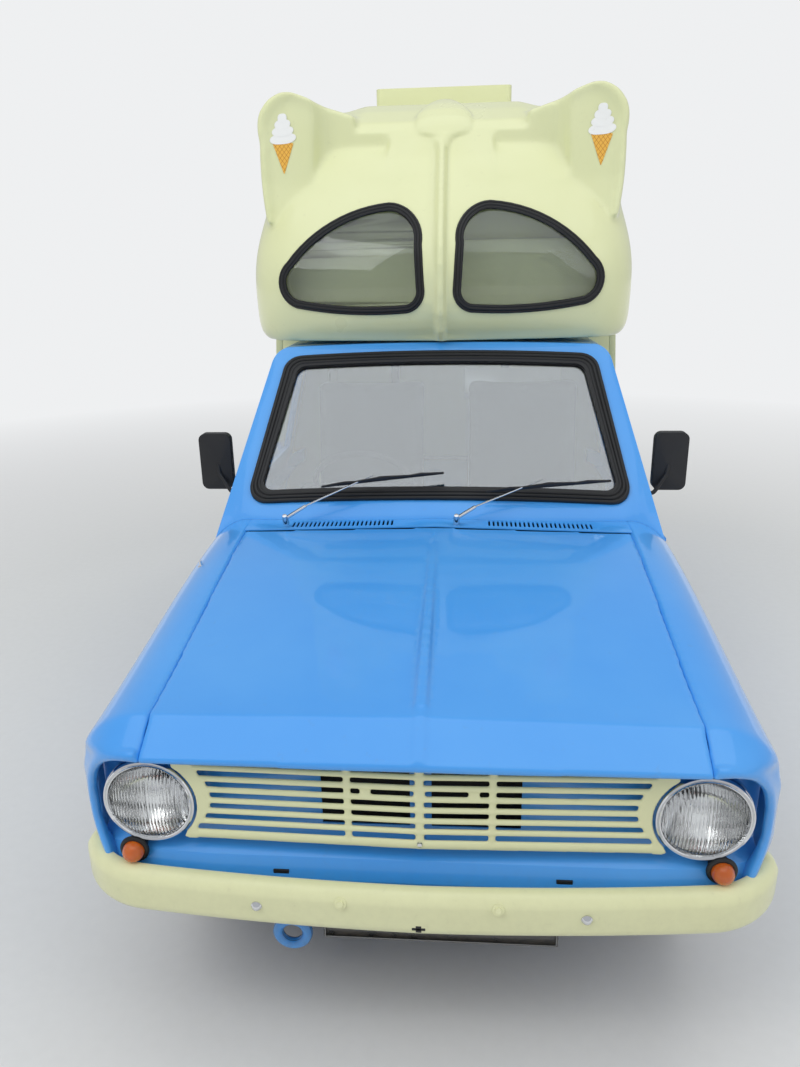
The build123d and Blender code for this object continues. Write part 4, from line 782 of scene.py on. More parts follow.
RUBBER_RIBS = (-0.002, 0.0065, 0.015)
SCREEN_ORIGIN = Vector((0, y_at(1.168), 0.9945))
SCREEN_RAKE = radians(48)
SCREEN_NORMAL = Vector((0, -sin(SCREEN_RAKE), cos(SCREEN_RAKE)))
SCREEN_UP = Vector((0, cos(SCREEN_RAKE), sin(SCREEN_RAKE)))
SCREEN_BOW = 5.300
SCREEN_HALVES = (0.626, 0.539)
SCREEN_TALL = 0.571
SCREEN_CORNER = 0.062
CORNER_STEPS = 9
SCREEN_RIBS = [(0.006, 0.005, 0.0070), (0.018, 0.0065, 0.0062), (0.030, 0.0055, 0.0062),
               (0.0405, 0.003, 0.0050)]


def rounded(corners, radius):
    """Closed outline with an arc at each corner."""
    points = []
    for index, corner in enumerate(corners):
        here = Vector(corner)
        back = (Vector(corners[index - 1]) - here).normalized()
        ahead = (Vector(corners[(index + 1) % len(corners)]) - here).normalized()
        half = back.angle(ahead) / 2
        centre = here + (back + ahead).normalized() * radius / sin(half)
        start = here + back * radius / tan(half) - centre
        turn = start.angle_signed(here + ahead * radius / tan(half) - centre)
        arms = [Matrix.Rotation(-turn * step / CORNER_STEPS, 2) @ start for step in range(CORNER_STEPS + 1)]
        points += [tuple(centre + arm) for arm in arms]
    return points


def divided(outline, longest):
    """Closed outline with its long sides cut into short ones."""
    points = []
    for here, there in zip(outline, outline[1:] + outline[:1]):
        here, there = Vector(here), Vector(there)
        count = max(1, int((there - here).length / longest))
        points += [tuple(here.lerp(there, step / count)) for step in range(count)]
    return points


def on_screen(across, up, lift):
    """Point over the bowed windscreen."""
    sag = SCREEN_BOW - sqrt(SCREEN_BOW ** 2 - across ** 2)
    return SCREEN_ORIGIN + Vector((across, 0, 0)) + SCREEN_UP * up + SCREEN_NORMAL * (lift - sag)


def make_pod_seals(surface):
    """Ribbed rubber round each pod window, laid on the moulding."""
    ribs = []
    for side in (1, -1):
        for offset in RUBBER_RIBS:
            outline = divided(grown(teardrop(side), offset), 0.012)
            depth = [ray_on(surface, x, z) for x, z in outline]
            count = len(depth)
            for _ in range(10):
                depth = [(depth[i - 1] + depth[i] + depth[(i + 1) % count]) / 3 for i in range(count)]
            lift = 0.004 if offset == RUBBER_RIBS[1] else 0.001
            points = [(x, y - lift, z) for (x, z), y in zip(outline, depth)]
            ribs.append(tube("rib", points, 0.0060, closed=True))
    return ribs


def make_window_rubber(surface):
    """Ribbed rubbers of the pod windows and the windscreen, as one piece in place of the CAD seals."""
    screen = cad_copy("window_seals", "screen_rubber")
    edit_all(screen, bpy.ops.mesh.bisect, plane_co=(0, 0, 1.4455), plane_no=(0, 0, 1), clear_outer=True)
    eased(screen, 0.003, 35)
    smooth(screen, 40)
    ribs = []
    for inset, lift, radius in SCREEN_RIBS:
        low, high, top = SCREEN_HALVES[0] - inset, SCREEN_HALVES[1] - inset, SCREEN_TALL - inset
        corners = [(-low, inset), (low, inset), (high, top), (-high, top)]
        outline = divided(rounded(corners, SCREEN_CORNER - inset * 0.55), 0.04)
        ribs.append(tube("rib", [on_screen(x, up, lift) for x, up in outline], radius, closed=True))
    rubber = joined("window_rubber", [screen] + ribs + make_pod_seals(surface))
    dress(rubber, "seal_rubber")
    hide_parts("window_seals")


# Pressed panels: blended like real pressings, with rolled edges
RIDGE_STATIONS = [0.052 + 0.018 * step for step in range(51)]
RIDGE_TALL = 0.0045
PRESSED_VOXEL = 0.005


def make_bonnet():
    """Bonnet with soft edges and its low middle ridge, which runs over the lip."""
    bonnet = cad_copy("bonnet", "bonnet_panel")
    rows = []
    for station in RIDGE_STATIONS:
        hit, place, _, _ = bonnet.ray_cast(Vector((0.004, y_at(station), 2.0)), Vector((0, 0, -1)))
        if not hit:
            continue
        half = 0.015 - 0.005 * station
        height = RIDGE_TALL if station < 0.85 else RIDGE_TALL * (0.97 - station) / 0.12
        shape = [(-half, -0.004), (-half * 0.8, height), (half * 0.8, height), (half, -0.004)]
        rows.append([(x, place.y, place.z + z) for x, z in shape])
    bonnet = joined("bonnet_panel", [bonnet, filled("ridge", rows, 8)])
    blended(bonnet, PRESSED_VOXEL, 7, 0.35)
    dress(bonnet, "body_blue", "bonnet")
    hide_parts("bonnet")


HOOD_EDGE = arc_points((0.579, 0.7635), (0.662, 0.738), (0.704, 0.668), 20) + arc_points(
    (0.704, 0.668), (0.710, 0.600), (0.686, 0.510), 20) + [(0.686, 0.510), (0.663, 0.455), (0.640, 0.400)]
NOSE_ARC = arc_points((0.560, 0.054), (0.712, 0.122), (0.759, 0.240), 60)
HOOD_WALL = [(0.050, 0.060), (0.018, 0.016), (0.003, 0.010), (0.001, 0.020), (0.001, 0.0)]
HOOD_BACK = 0.138
WING_LAYERS = 4
LAYER_STEP = 0.0034


def nose_station(x):
    """Station of the nose's face at a distance from the middle."""
    for (x0, s0), (x1, s1) in zip(NOSE_ARC, NOSE_ARC[1:]):
        if x0 <= x <= x1:
            return s0 + (s1 - s0) * (x - x0) / (x1 - x0)
    return 0.046 + 0.008 * x / 0.560


def make_hood(side):
    """Rolled rim of a lamp hood, and the wall behind it back to the lamp panel."""
    rim, rows = [], [[] for _ in HOOD_WALL]
    for index, (x, z) in enumerate(HOOD_EDGE):
        before = Vector(HOOD_EDGE[max(0, index - 1)])
        along = (Vector(HOOD_EDGE[min(len(HOOD_EDGE) - 1, index + 1)]) - before).normalized()
        out = Vector((-along.y, along.x))
        station = nose_station(x)
        rim.append((side * (x + out.x * 0.006), y_at(station + 0.009), z + out.y * 0.006))
        for row, (outward, deep) in zip(rows, HOOD_WALL):
            edge = min(0.750, x + out.x * outward)
            rise = max(out.y, 0.0) * min(outward, 0.010)
            row.append((side * edge, y_at(station + deep if deep else HOOD_BACK), z + rise))
    wall = skinned("wall", rows)
    apply_modifier(wall, "SOLIDIFY", thickness=0.008, offset=0)
    normals_out(wall)
    return [tube("rim", rim, 0.0125, sides=4), wall]


def hood_share(place):
    """How much of a lamp hood a place on the wings is: out to the side and ahead."""
    return ramp(abs(place.x) - 0.606, 0.05) * ramp(y_at(0.46) - place.y, 0.16)


def make_wings():
    """Front wings with rolled hoods round the lamps and rolled arches."""
    layers = []
    for side in (1, -1):
        for layer in range(WING_LAYERS):
            skin = cad_copy("front_wings", "wing")
            edit_all(skin, bpy.ops.mesh.bisect, plane_co=(0, 0, 0), plane_no=(side, 0, 0), clear_inner=True)
            shift = LAYER_STEP * layer
            skin.data.transform(Matrix.Translation((-side * shift, 0, -shift)))
            layers.append(skin)
        layers += make_hood(side)
    wings = joined("front_wing_panels", layers)
    voxelled(wings, PRESSED_VOXEL)
    relaxed_where(wings, "hood", hood_share, 40)
    relaxed(wings, 7)
    apply_modifier(wings, "DECIMATE", ratio=0.4)
    all_smooth(wings)
    dress(wings, "body_blue")
    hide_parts("front_wings")


# Headlamps: bezel, fluted glass, reflector and bulb cap
LAMP_CENTRE = Vector((0.578, y_at(0.108), 0.637))
BEZEL_PROFILE = [(-0.020, 0.090), (-0.020, 0.1005), (0.002, 0.1015), (0.010, 0.1005), (0.0165, 0.0985),
                 (0.0180, 0.0960), (0.0160, 0.0935), (0.0190, 0.0915), (0.0180, 0.0890), (0.0120, 0.0880),
                 (-0.020, 0.0880)]
BULB_CAP = [(-0.012, 0.0), (-0.013, 0.008), (-0.020, 0.013), (-0.045, 0.013)]
GLASS_RADIUS = 0.0885
LENS_STEPS = 14


def lens_profile(bulge, edge):
    """Shallow dome from the middle to the rim."""
    points = []
    for step in range(LENS_STEPS + 1):
        share = step / LENS_STEPS
        points.append((edge + (bulge - edge) * sqrt(max(0.0, 1 - share ** 2.2)), GLASS_RADIUS * share))
    return points


def fluted_glass():
    """Lamp glass with fine upright flutes and broad level bands, as moulded in the lens."""
    material, tree, shader = new_material("fluted_lamp_glass")
    where = put(tree, "ShaderNodeSeparateXYZ", Vector=place_of(tree))
    from_middle = math_node(tree, "ABSOLUTE", where.outputs["X"])
    across = math_node(tree, "ABSOLUTE", math_node(tree, "SUBTRACT", from_middle, LAMP_CENTRE.x))
    upright = math_node(tree, "SUBTRACT", where.outputs["Z"], LAMP_CENTRE.z)
    waves = []
    for value, fineness, depth in ((across, 900.0, 0.0009), (upright, 150.0, 0.0012)):
        wave = math_node(tree, "SINE", math_node(tree, "MULTIPLY", value, fineness))
        waves.append(math_node(tree, "MULTIPLY", wave, depth))
    bump = put(tree, "ShaderNodeBump", Strength=0.8, Distance=1.0, Height=math_node(tree, "ADD", *waves))
    set_inputs(tree, shader, Base_Color=(0.96, 0.97, 0.97, 1), Transmission_Weight=1.0, Roughness=0.05,
               IOR=1.45, Normal=bump.outputs[0])
    return material


def make_headlamps():
    """Both headlamps."""
    bezels, glasses = [], []
    for side in (1, -1):
        centre = Vector((side * LAMP_CENTRE.x, LAMP_CENTRE.y, LAMP_CENTRE.z))
        bezels.append(turned("bezel", BEZEL_PROFILE + BEZEL_PROFILE[:1], centre, steps=72))
        bowl = [(0.004 - 0.058 * (1 - (step / 16) ** 2), GLASS_RADIUS * step / 16) for step in range(17)]
        bezels.append(turned("reflector", bowl, centre, steps=64))
        bezels.append(turned("bulb_cap", BULB_CAP, centre, steps=24))
        outer, inner = lens_profile(0.034, 0.012), lens_profile(0.031, 0.009)
        glasses.append(turned("glass", outer + inner[::-1], centre, steps=72))
    lamps = joined("headlamp_bezels", bezels)
    dress(lamps, "bright_metal")
    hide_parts("headlamps")
    glass = joined("headlamp_glasses", glasses)
    dress(glass, "lamp_glass", material=fluted_glass())
    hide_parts("headlamp_lenses")


# Radiator grille: rounded bars on webs, painted over as one
GRILLE_Y = y_at(0.084)
BAR_ROWS = [0.7485, 0.7248, 0.6983, 0.6718, 0.6453, 0.6188, 0.5923, 0.5600]
BAR_ENDS = [0.500, 0.476, 0.461, 0.4485, 0.446, 0.453, 0.470, 0.498]
BAR_HALVES = [0.0062, 0.0072, 0.0072, 0.0072, 0.0072, 0.0072, 0.0072, 0.0120]
END_PLATE = [(0.520, 0.7545), (0.470, 0.7545), (0.478, 0.738), (0.466, 0.7115), (0.450, 0.685),
             (0.443, 0.6585), (0.445, 0.632), (0.457, 0.6055), (0.476, 0.579), (0.480, 0.560),
             (0.480, 0.5480), (0.500, 0.5480), (0.508, 0.552)]
BADGE_X = 0.112


def grille_y(x):
    """The grille is bent at its middle."""
    return GRILLE_Y + abs(x) * 0.0262


def flat_bar(start, end, half_height, half_depth):
    """Bar of oval section between two (x, z) points on the grille."""
    bar = tube("bar", [(x, 0, z) for x, z in (start, end)], half_height, sides=4)
    squash = half_depth / half_height
    for vertex in bar.data.vertices:
        vertex.co.y = vertex.co.y * squash + grille_y(vertex.co.x)
    return bar


def make_grille():
    """Grille in place of the CAD one, with its two small badge plates painted with it."""
    bars = []
    for side in (1, -1):
        for z, end, half in zip(BAR_ROWS, BAR_ENDS, BAR_HALVES):
            bars.append(flat_bar((0, z), (side * end, z), half, 0.0052))
        for x, half in ((0.0, 0.010), (side * 0.150, 0.008)):
            bars.append(flat_bar((x, BAR_ROWS[0]), (x, BAR_ROWS[-1]), half, 0.0044))
        rim = arc_points((0.522, 0.7246), (0.474, 0.637), (0.511, 0.557), 16)
        outline = [(side * x, grille_y(x) - 0.0015, z) for x, z in END_PLATE + rim[::-1]]
        plate = mesh_piece("end_plate", outline, [tuple(range(len(outline)))])
        edit_all(plate, bpy.ops.mesh.quads_convert_to_tris)
        apply_modifier(plate, "SOLIDIFY", thickness=0.006, offset=0)
        bars.append(plate)
        middle = side * BADGE_X
        badge = rounded_box("badge", (middle - 0.012, -0.002, 0.6785), (middle + 0.012, 0.002, 0.6915), 0.001)
        badge.data.transform(Matrix.Translation((0, grille_y(BADGE_X), 0)))
        bars.append(badge)
    low, high = (-0.012, GRILLE_Y - 0.003, 0.674), (0.012, GRILLE_Y + 0.003, 0.697)
    bars.append(rounded_box("middle", low, high, 0.001))
    grille = joined("grille_bars", bars)
    blended(grille, 0.0026, 3, 0.4)
    dress(grille, "cream_paint")
    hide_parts("grille")
    brace = rounded_box("grille_brace", (-0.012, y_at(0.098), 0.545), (0.012, y_at(0.104), 0.760), 0.002)
    dress(brace, "body_blue")


# Front bumper: one rolled blade wrapped round the corners
BUMPER_LOW = 0.390
BUMPER_HIGH = 0.498
BUMPER_ROLL = 0.030
BUMPER_END_ROUND = 0.034
BUMPER_TURN = (0.600, 0.034)
DOME_BOLT = [(0.0078, 0.0), (0.0070, 0.0042), (0.0046, 0.0078), (0.0018, 0.0096), (0.0, 0.0115),
             (-0.002, 0.0115)]
GRILLE_SCREW = [(0.004, 0.0), (0.003, 0.005), (0.0, 0.0065), (-0.002, 0.0065)]
FLAT_BOLT = [(0.0075, 0.0), (0.0072, 0.0065), (0.0032, 0.0074), (0.0026, 0.0125), (-0.002, 0.0135)]


def bumper_plan():
    """Bumper's face from the middle to its left end, as (x, station) points."""
    bow = arc_points((0, 0), (0.300, 0.010), BUMPER_TURN, 40)
    heading = Vector(BUMPER_TURN) - Vector(bow[-1])
    wrap = tangent_arc(BUMPER_TURN, heading, (0.762, 0.150), 30)
    return bow + wrap + [(0.762, 0.150), (0.7633, 0.168), (0.7645, 0.186), (0.765, 0.205)]


def bumper_rows(plan):
    """Rolled section at each point of the plan, closed down at the end."""
    length = [0.0]
    for before, after in zip(plan, plan[1:]):
        length.append(length[-1] + (Vector(after) - Vector(before)).length)
    middle = (BUMPER_LOW + BUMPER_HIGH) / 2
    half = (BUMPER_HIGH - BUMPER_LOW) / 2
    section = []
    for step in range(11):
        angle = radians(100 - 10 * step)
        section.append((BUMPER_ROLL * (cos(angle) - 1), half - BUMPER_ROLL + BUMPER_ROLL * sin(angle)))
    section += [(depth, -high) for depth, high in section[::-1]]
    rows = []
    for index, place in enumerate(plan):
        before = Vector(plan[max(0, index - 1)])
        after = Vector(plan[min(len(plan) - 1, index + 1)])
        along = (after - before).normalized()
        outward = Vector((along.y, -along.x))
        over = max(0.0, (length[index] - length[-1] + BUMPER_END_ROUND) / BUMPER_END_ROUND)
        share = sqrt(max(0.06, 1 - over ** 2.4))
        rows.append([(place[0] + outward.x * depth, y_at(place[1] + outward.y * depth), middle + high * share)
                     for depth, high in section])
    return rows


def make_front_bumper():
    """Blade, its bolts and the starting-handle hole, shown as black plates of painted shade."""
    plan = bumper_plan()
    end, before = Vector(plan[-1]), Vector(plan[-2])
    left = bumper_rows(plan[:-1] + [tuple(end.lerp(before, 1 - step / 8)) for step in range(1, 9)])
    right = [[(-x, y, z) for x, y, z in row] for row in left[:0:-1]]
    blade = skinned("front_bumper_blade", right + left)
    normals_out(blade)
    normals_ahead(blade)
    apply_modifier(blade, "SOLIDIFY", thickness=0.0028, offset=-1)
    eased(blade, 0.001, 50)
    smooth(blade, 50)
    dress(blade, "cream_paint")
    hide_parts("bumper_front")
    bolts = [turned("bolt", DOME_BOLT, (x, y_at(0.0105), 0.449), steps=20) for x in (-0.339, 0.341)]
    bolts.append(turned("screw", GRILLE_SCREW, (0, GRILLE_Y - 0.0055, 0.5635), steps=16))
    dress(joined("bright_bolts", bolts), "bright_metal")
    painted = [turned("bolt", FLAT_BOLT, (x, y_at(0.0042), 0.472), (0, -0.93, 0.36), steps=12)
               for x in (-0.160, 0.162)]
    dress(joined("painted_bolts", painted), "cream_paint")
    # Starting-handle hole: black plates on the bumper face, painted shade in place of an opening
    cross = [rounded_box("slot", (-half, y_at(-0.0004), low), (half, y_at(0.003), high), 0.001)
             for half, low, high in ((0.014, 0.414, 0.421), (0.006, 0.409, 0.426))]
    dress(joined("painted_shade_handle_hole", cross), "black_plastic")


# Wipers: bright arms and black blades that rest on the glass
WIPER_ARMS = [
    ((-0.468, 1.068, 0.9595), (-0.405, 1.096, 0.993), (-0.200, 1.186, 1.0700), (-0.365, 1.1600, 1.0370),
     (0.025, 1.1930, 1.0745)),
    ((0.066, 1.072, 0.962), (0.125, 1.098, 0.992), (0.334, 1.176, 1.0590), (0.160, 1.1490, 1.0260),
     (0.545, 1.1750, 1.0540)),
]
WIPER_BRIDGES = [(0.04, 0.34, 0.010), (0.66, 0.96, 0.010), (0.18, 0.82, 0.016)]
WIPER_CAP = [(0.016, 0.0), (0.014, 0.007), (0.002, 0.010), (-0.022, 0.010)]
GLASS_OUT = (0, -0.743, 0.669)


def lifted(place, amount):
    """Point raised off the windscreen."""
    x, station, z = place
    return Vector((x, y_at(station) + amount * GLASS_OUT[1], z + amount * GLASS_OUT[2]))


def make_wipers():
    """Both wipers in place of the CAD ones."""
    bright, black = [], []
    out = Vector(GLASS_OUT)
    for pivot, knee, tip, low, high in WIPER_ARMS:
        root, bend, end = lifted(pivot, 0.004), lifted(knee, 0.006), lifted(tip, 0.007)
        bright.append(turned("cap", WIPER_CAP, root, (0, -0.5, 0.86), 24))
        bright.append(aimed_box("root", root, bend, 0.013, 0.009, 0.003))
        bright.append(aimed_box("arm", bend, end, 0.008, 0.004, 0.0015))
        black.append(aimed_box("rubber", lifted(low, 0.004), lifted(high, 0.004), 0.010, 0.0035, 0.001))
        left, right = lifted(low, 0.008), lifted(high, 0.008)
        black.append(aimed_box("spine", left, right, 0.0035, 0.006, 0.001))
        for start, stop, rise in WIPER_BRIDGES:
            first, last = left.lerp(right, start), left.lerp(right, stop)
            crown = first.lerp(last, 0.5) + out * rise
            points = [first, first.lerp(crown, 0.6), crown, crown.lerp(last, 0.4), last]
            black.append(tube("bridge", points, 0.0036))
        clip = [left.lerp(right, along) + out * 0.012 for along in (0.46, 0.54)]
        black.append(aimed_box("clip", *clip, 0.012, 0.010, 0.002))
    wipers = joined("wiper_blades", black)
    dress(wipers, "black_plastic")
    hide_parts("wipers")
    dress(joined("wiper_arms", bright), "bright_metal")


# Small trim: towing ring, plate borders, indicator seats, bracket slots as painted shade, aerial stub, bonnet
# stop
PLATE_BORDERS = [(-0.216, 0.296, 0.286, 0.389, 0.1035), (-0.556, -0.359, 0.524, 0.669, 3.8545)]
AERIAL = [(0.034, 0.0), (0.033, 0.004), (0.020, 0.005), (0.018, 0.010), (0.008, 0.011), (0.004, 0.017),
          (-0.010, 0.017)]
BONNET_STOP = [(0.008, 0.0), (0.006, 0.006), (0.0, 0.009), (-0.008, 0.010)]


def circle(centre, radius, count):
    """Points of an upright circle that faces the front."""
    x, y, z = centre
    angles = [2 * pi * step / count for step in range(count)]
    return [(x + radius * cos(angle), y, z + radius * sin(angle)) for angle in angles]


def make_trim():
    """Small fittings that the photograph shows."""
    points = circle((-0.315, y_at(0.200), 0.198), 0.0355, 40)
    dress(tube("towing_ring", points, 0.0128, closed=True, sides=4), "body_blue")
    borders = []
    for left, right, low, high, station in PLATE_BORDERS:
        corners = [(left, low), (right, low), (right, high), (left, high)]
        borders.append(tube("border", [(x, y_at(station), z) for x, z in corners], 0.0016, closed=True))
    dress(joined("plate_borders", borders), "bare_steel")
    seats = [tube("seat", circle((side * 0.621, y_at(0.087), 0.519), 0.0265, 32), 0.0058, closed=True)
             for side in (1, -1)]
    dress(joined("indicator_seats", seats), "seal_rubber")
    valance = cad_copy("nose_panel", "valance")
    # Bracket slots: black plates on the valance, painted shade in place of the openings
    slots = []
    for x in (-0.298, 0.302):
        y = ray_on(valance, x, 0.482)
        low, high = (x - 0.017, y - 0.0012, 0.456), (x + 0.017, y + 0.004, 0.488)
        slots.append(rounded_box("slot", low, high, 0.001))
    bpy.data.objects.remove(valance)
    dress(joined("painted_shade_bracket_slots", slots), "black_plastic")
    aerial = turned("aerial_stub", AERIAL, (-0.673, y_at(0.850), 0.868), (-0.15, -0.05, 1.0), 24)
    dress(aerial, "bright_metal")
    rest = turned("bonnet_stop", BONNET_STOP, (-0.008, y_at(0.945), 0.918), (0, 0, 1), 20)
    dress(rest, "black_plastic", "bonnet")


# Fittings on the sides and the back
DOOR_WINDOW = [(y_at(1.345), 0.965), (y_at(1.655), 1.345), (y_at(2.095), 1.345), (y_at(2.095), 0.965)]
HANDLE_Z = 0.880
HANDLE_OUT = 0.030
DOOR_LOCK = [(0.011, 0.0), (0.011, 0.004), (0.007, 0.006), (0.0, 0.006)]
BODY_WINDOWS = [("body_side_left", 1, 2.440, 3.330, 1.180, 1.830),
                ("body_side_right", -1, 2.520, 3.250, 1.280, 1.760)]
REAR_FACE = y_at(3.850)
REAR_PANE = [(-0.230, 1.250), (0.230, 1.250), (0.230, 1.750), (-0.230, 1.750)]
LEVER_X = -0.268
LEVER_BOSS = [(0.022, 0.0), (0.022, 0.006), (0.012, 0.010), (0.009, 0.028), (0.0, 0.030)]
SEAL_STRIPS = [(0.316, 0.368, 0.500, 1.972), (-0.368, -0.316, 0.500, 1.972), (-0.368, 0.368, 1.924, 1.972),
               (-0.368, 0.368, 0.470, 0.520)]


def ray_across(piece, side, y, z):
    """X where a line across the vehicle, from one side, first meets a piece."""
    hit, place, _, _ = piece.ray_cast(Vector((side * 2, y, z)), Vector((-side, 0, 0)))
    return place.x if hit else None


def side_loop(node, side, corners, corner_radius, radius):
    """Bead round an opening in a side panel, laid on the panel's outer face."""
    panel = cad_copy(node, "panel")
    if node in BODY_NODES:
        drawn_in(panel)
    points = []
    for y, z in divided(grown(rounded(corners, corner_radius), 0.008), 0.04):
        x = ray_across(panel, side, y, z)
        points.append((points[-1][0] if x is None else x, y, z))
    bpy.data.objects.remove(panel)
    return tube("bead", points, radius, closed=True)


def door_face(node, side, station, z):
    """X of the outer face of a door."""
    panel = cad_copy(node, "panel")
    x = ray_across(panel, side, y_at(station), z)
    bpy.data.objects.remove(panel)
    return x


def make_door_fittings(side, name):
    """Window rubber, handle, lock and hinges of a cab door."""
    node = "door_" + name
    dress(side_loop(node, side, DOOR_WINDOW, 0.020, 0.0065), "seal_rubber", node)
    bpy.context.view_layer.update()
    face = door_face(node, side, 2.030, HANDLE_Z)
    grip_x = face + side * HANDLE_OUT
    ends = [(grip_x, y_at(station), HANDLE_Z) for station in (1.965, 2.085)]
    grip = aimed_box("grip", *ends, 0.012, 0.020, 0.004)
    inside = face - side * 0.002
    posts = [aimed_box("post", (inside, y_at(station), HANDLE_Z), (grip_x, y_at(station), HANDLE_Z),
                       0.026, 0.024, 0.005) for station in (1.972, 2.078)]
    lock = turned("lock", DOOR_LOCK, (face - side * 0.001, y_at(2.078), 0.836), (side, 0, 0), 20)
    dress(joined("door_handle_" + name, [grip, lock] + posts), "bright_metal", node)
    hinges = []
    for z in (0.520, 0.820):
        x = door_face(node, side, 1.290, z) + side * 0.002
        hinges.append(aimed_box("leaf", (x, y_at(1.252), z), (x, y_at(1.312), z), 0.008, 0.046, 0.003))
    dress(joined("door_hinges_" + name, hinges), "body_blue", node)


def make_side_fittings():
    """Fittings of the cab doors, rubbers of the body's windows and the rear door's furniture."""
    make_door_fittings(1, "left")
    make_door_fittings(-1, "right")
    beads = []
    for node, side, front, rear, low, high in BODY_WINDOWS:
        corners = [(y_at(front), low), (y_at(front), high), (y_at(rear), high), (y_at(rear), low)]
        beads.append(side_loop(node, side, corners, 0.018, 0.0085))
    dress(joined("body_window_rubbers", beads), "seal_rubber")
    outline = divided(grown(rounded(REAR_PANE, 0.018), 0.006), 0.05)
    rubber = tube("rear_window_rubber", [(x, REAR_FACE + 0.0005, z) for x, z in outline], 0.0075, closed=True)
    dress(rubber, "seal_rubber", "rear_door")
    ends = [(LEVER_X, REAR_FACE + 0.026, z) for z in (1.085, 0.985)]
    furniture = [aimed_box("lever", *ends, 0.016, 0.012, 0.004),
                 turned("boss", LEVER_BOSS, (LEVER_X, REAR_FACE - 0.001, 1.080), (0, 1, 0), 24)]
    dress(joined("rear_door_handle", furniture), "bright_metal", "rear_door")
    inner = REAR_FACE - 0.036
    strips = [rounded_box("strip", (left, inner, low), (right, inner + 0.006, high), 0.002)
              for left, right, low, high in SEAL_STRIPS]
    dress(joined("rear_door_seal", strips), "seal_rubber")
    leaves = [rounded_box("leaf", (0.255, REAR_FACE - 0.001, z - 0.022),
                          (0.318, REAR_FACE + 0.006, z + 0.022), 0.002) for z in (0.700, 1.180, 1.850)]
    dress(joined("rear_door_hinges", leaves), "bright_metal", "rear_door")


# Cone emblems on the ears: a plain swirl cone, laid on the moulding
def laid_patch(name, outline, centre, surface, lift, rings=7):
    """Thin patch over the pod, spread from its centre to a star-shaped outline of (x, z) points."""
    rows = []
    for ring in range(rings + 1):
        spots = [Vector(centre).lerp(Vector(place), ring / rings) for place in outline]
        rows.append([(spot.x, ray_on(surface, spot.x, spot.y) - lift, spot.y) for spot in spots])
    patch = skinned(name, rows, closed=True)
    edit_all(patch, bpy.ops.mesh.remove_doubles, threshold=0.0001)
    normals_ahead(patch)
    all_smooth(patch)
    return patch


def waffle_material():
    """Golden wafer with crossing darker lines."""
    material, tree, shader = new_material("wafer_print")
    where = put(tree, "ShaderNodeSeparateXYZ", Vector=place_of(tree))
    lines = []
    for operation in ("ADD", "SUBTRACT"):
        rise = math_node(tree, "MULTIPLY", where.outputs["Z"], 0.8)
        slant = math_node(tree, operation, where.outputs["X"], rise)
        wave = math_node(tree, "SINE", math_node(tree, "MULTIPLY", slant, 420.0))
        lines.append(spread(tree, wave, 0.86, 0.97))
    amount = math_node(tree, "MAXIMUM", lines[0], lines[1])
    wafer = mix_colour(tree, amount, rgb(238, 184, 78), rgb(190, 118, 40))
    set_inputs(tree, shader, Base_Color=wafer, Roughness=0.3)
    return material


SWIRL_TIERS = [(0.000, 0.046, 0.017), (0.024, 0.038, 0.016), (0.046, 0.028, 0.015), (0.066, 0.016, 0.014)]
CONE_PLACE = (0.545, 2.112)
CONE_HALF = 0.036
CONE_TALL = 0.100
CONE_RIM = [(-0.036, 0.0), (-0.018, 0.006), (0.0, 0.008), (0.018, 0.006), (0.036, 0.0)]
CONE_STEPS = [0.25, 0.5, 0.75, 0.96]


def make_cones(surface):
    """One upright cone on each ear."""
    wafers, swirls = [], []
    for side in (1, -1):
        x, z = side * CONE_PLACE[0], CONE_PLACE[1]
        cone = [(x + across, z + up) for across, up in CONE_RIM]
        cone += [(x + CONE_HALF * (1 - t), z - CONE_TALL * t) for t in CONE_STEPS]
        cone += [(x - CONE_HALF * (1 - t), z - CONE_TALL * t) for t in CONE_STEPS[::-1]]
        wafers.append(laid_patch("wafer", divided(cone, 0.008), (x, z - 0.030), surface, 0.0012))
        for lift, half, tall in SWIRL_TIERS:
            tier, middle = [], z + 0.016 + lift
            for step in range(36):
                angle = 2 * pi * step / 36
                squash = abs(cos(angle)) ** 0.7 * (1 if cos(angle) > 0 else -1)
                tier.append((x + half * squash, middle + tall * sin(angle) + 0.10 * half * cos(angle)))
            swirls.append(laid_patch("tier", tier, (x, middle), surface, 0.0018 + lift * 0.02, 5))
    dress(joined("wafer_prints", wafers), "cream_paint", material=waffle_material())
    white = finished("white_print", rgb(246, 246, 243), faded=rgb(232, 232, 228), roughness=0.3, dirt=0.05)
    dress(joined("swirl_prints", swirls), "white_panel", material=white)


# Seats: padded vinyl, blown up by a short cloth run
SEAT_SWELL = 0.012
SEAT_FLOOR = 0.5602
BLOWN_FRAMES = 16


def make_seats():
    """Padded cushions and backs in place of the CAD blocks."""
    pads = cad_copy("seat_cushions", "seat_pads")
    voxelled(pads, 0.0085)
    before = [vertex.co.copy() for vertex in pads.data.vertices]
    pads.modifiers.new("blown", "CLOTH")
    cloth = pads.modifiers["blown"]
    cloth.settings.use_pressure = True
    cloth.settings.uniform_pressure_force = 4
    cloth.settings.effector_weights.gravity = 0
    for step in range(BLOWN_FRAMES):
        bpy.context.scene.frame_set(step + 1)
    only(pads)
    bpy.ops.object.modifier_apply(modifier="blown")
    bpy.context.scene.frame_set(1)
    for vertex, home in zip(pads.data.vertices, before):
        move = vertex.co - home
        if move.length > SEAT_SWELL:
            vertex.co = home + move.normalized() * SEAT_SWELL
        vertex.co.z = max(vertex.co.z, SEAT_FLOOR)
    relaxed(pads, 3)
    all_smooth(pads)
    dress(pads, "seat_vinyl")
    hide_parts("seat_cushions")


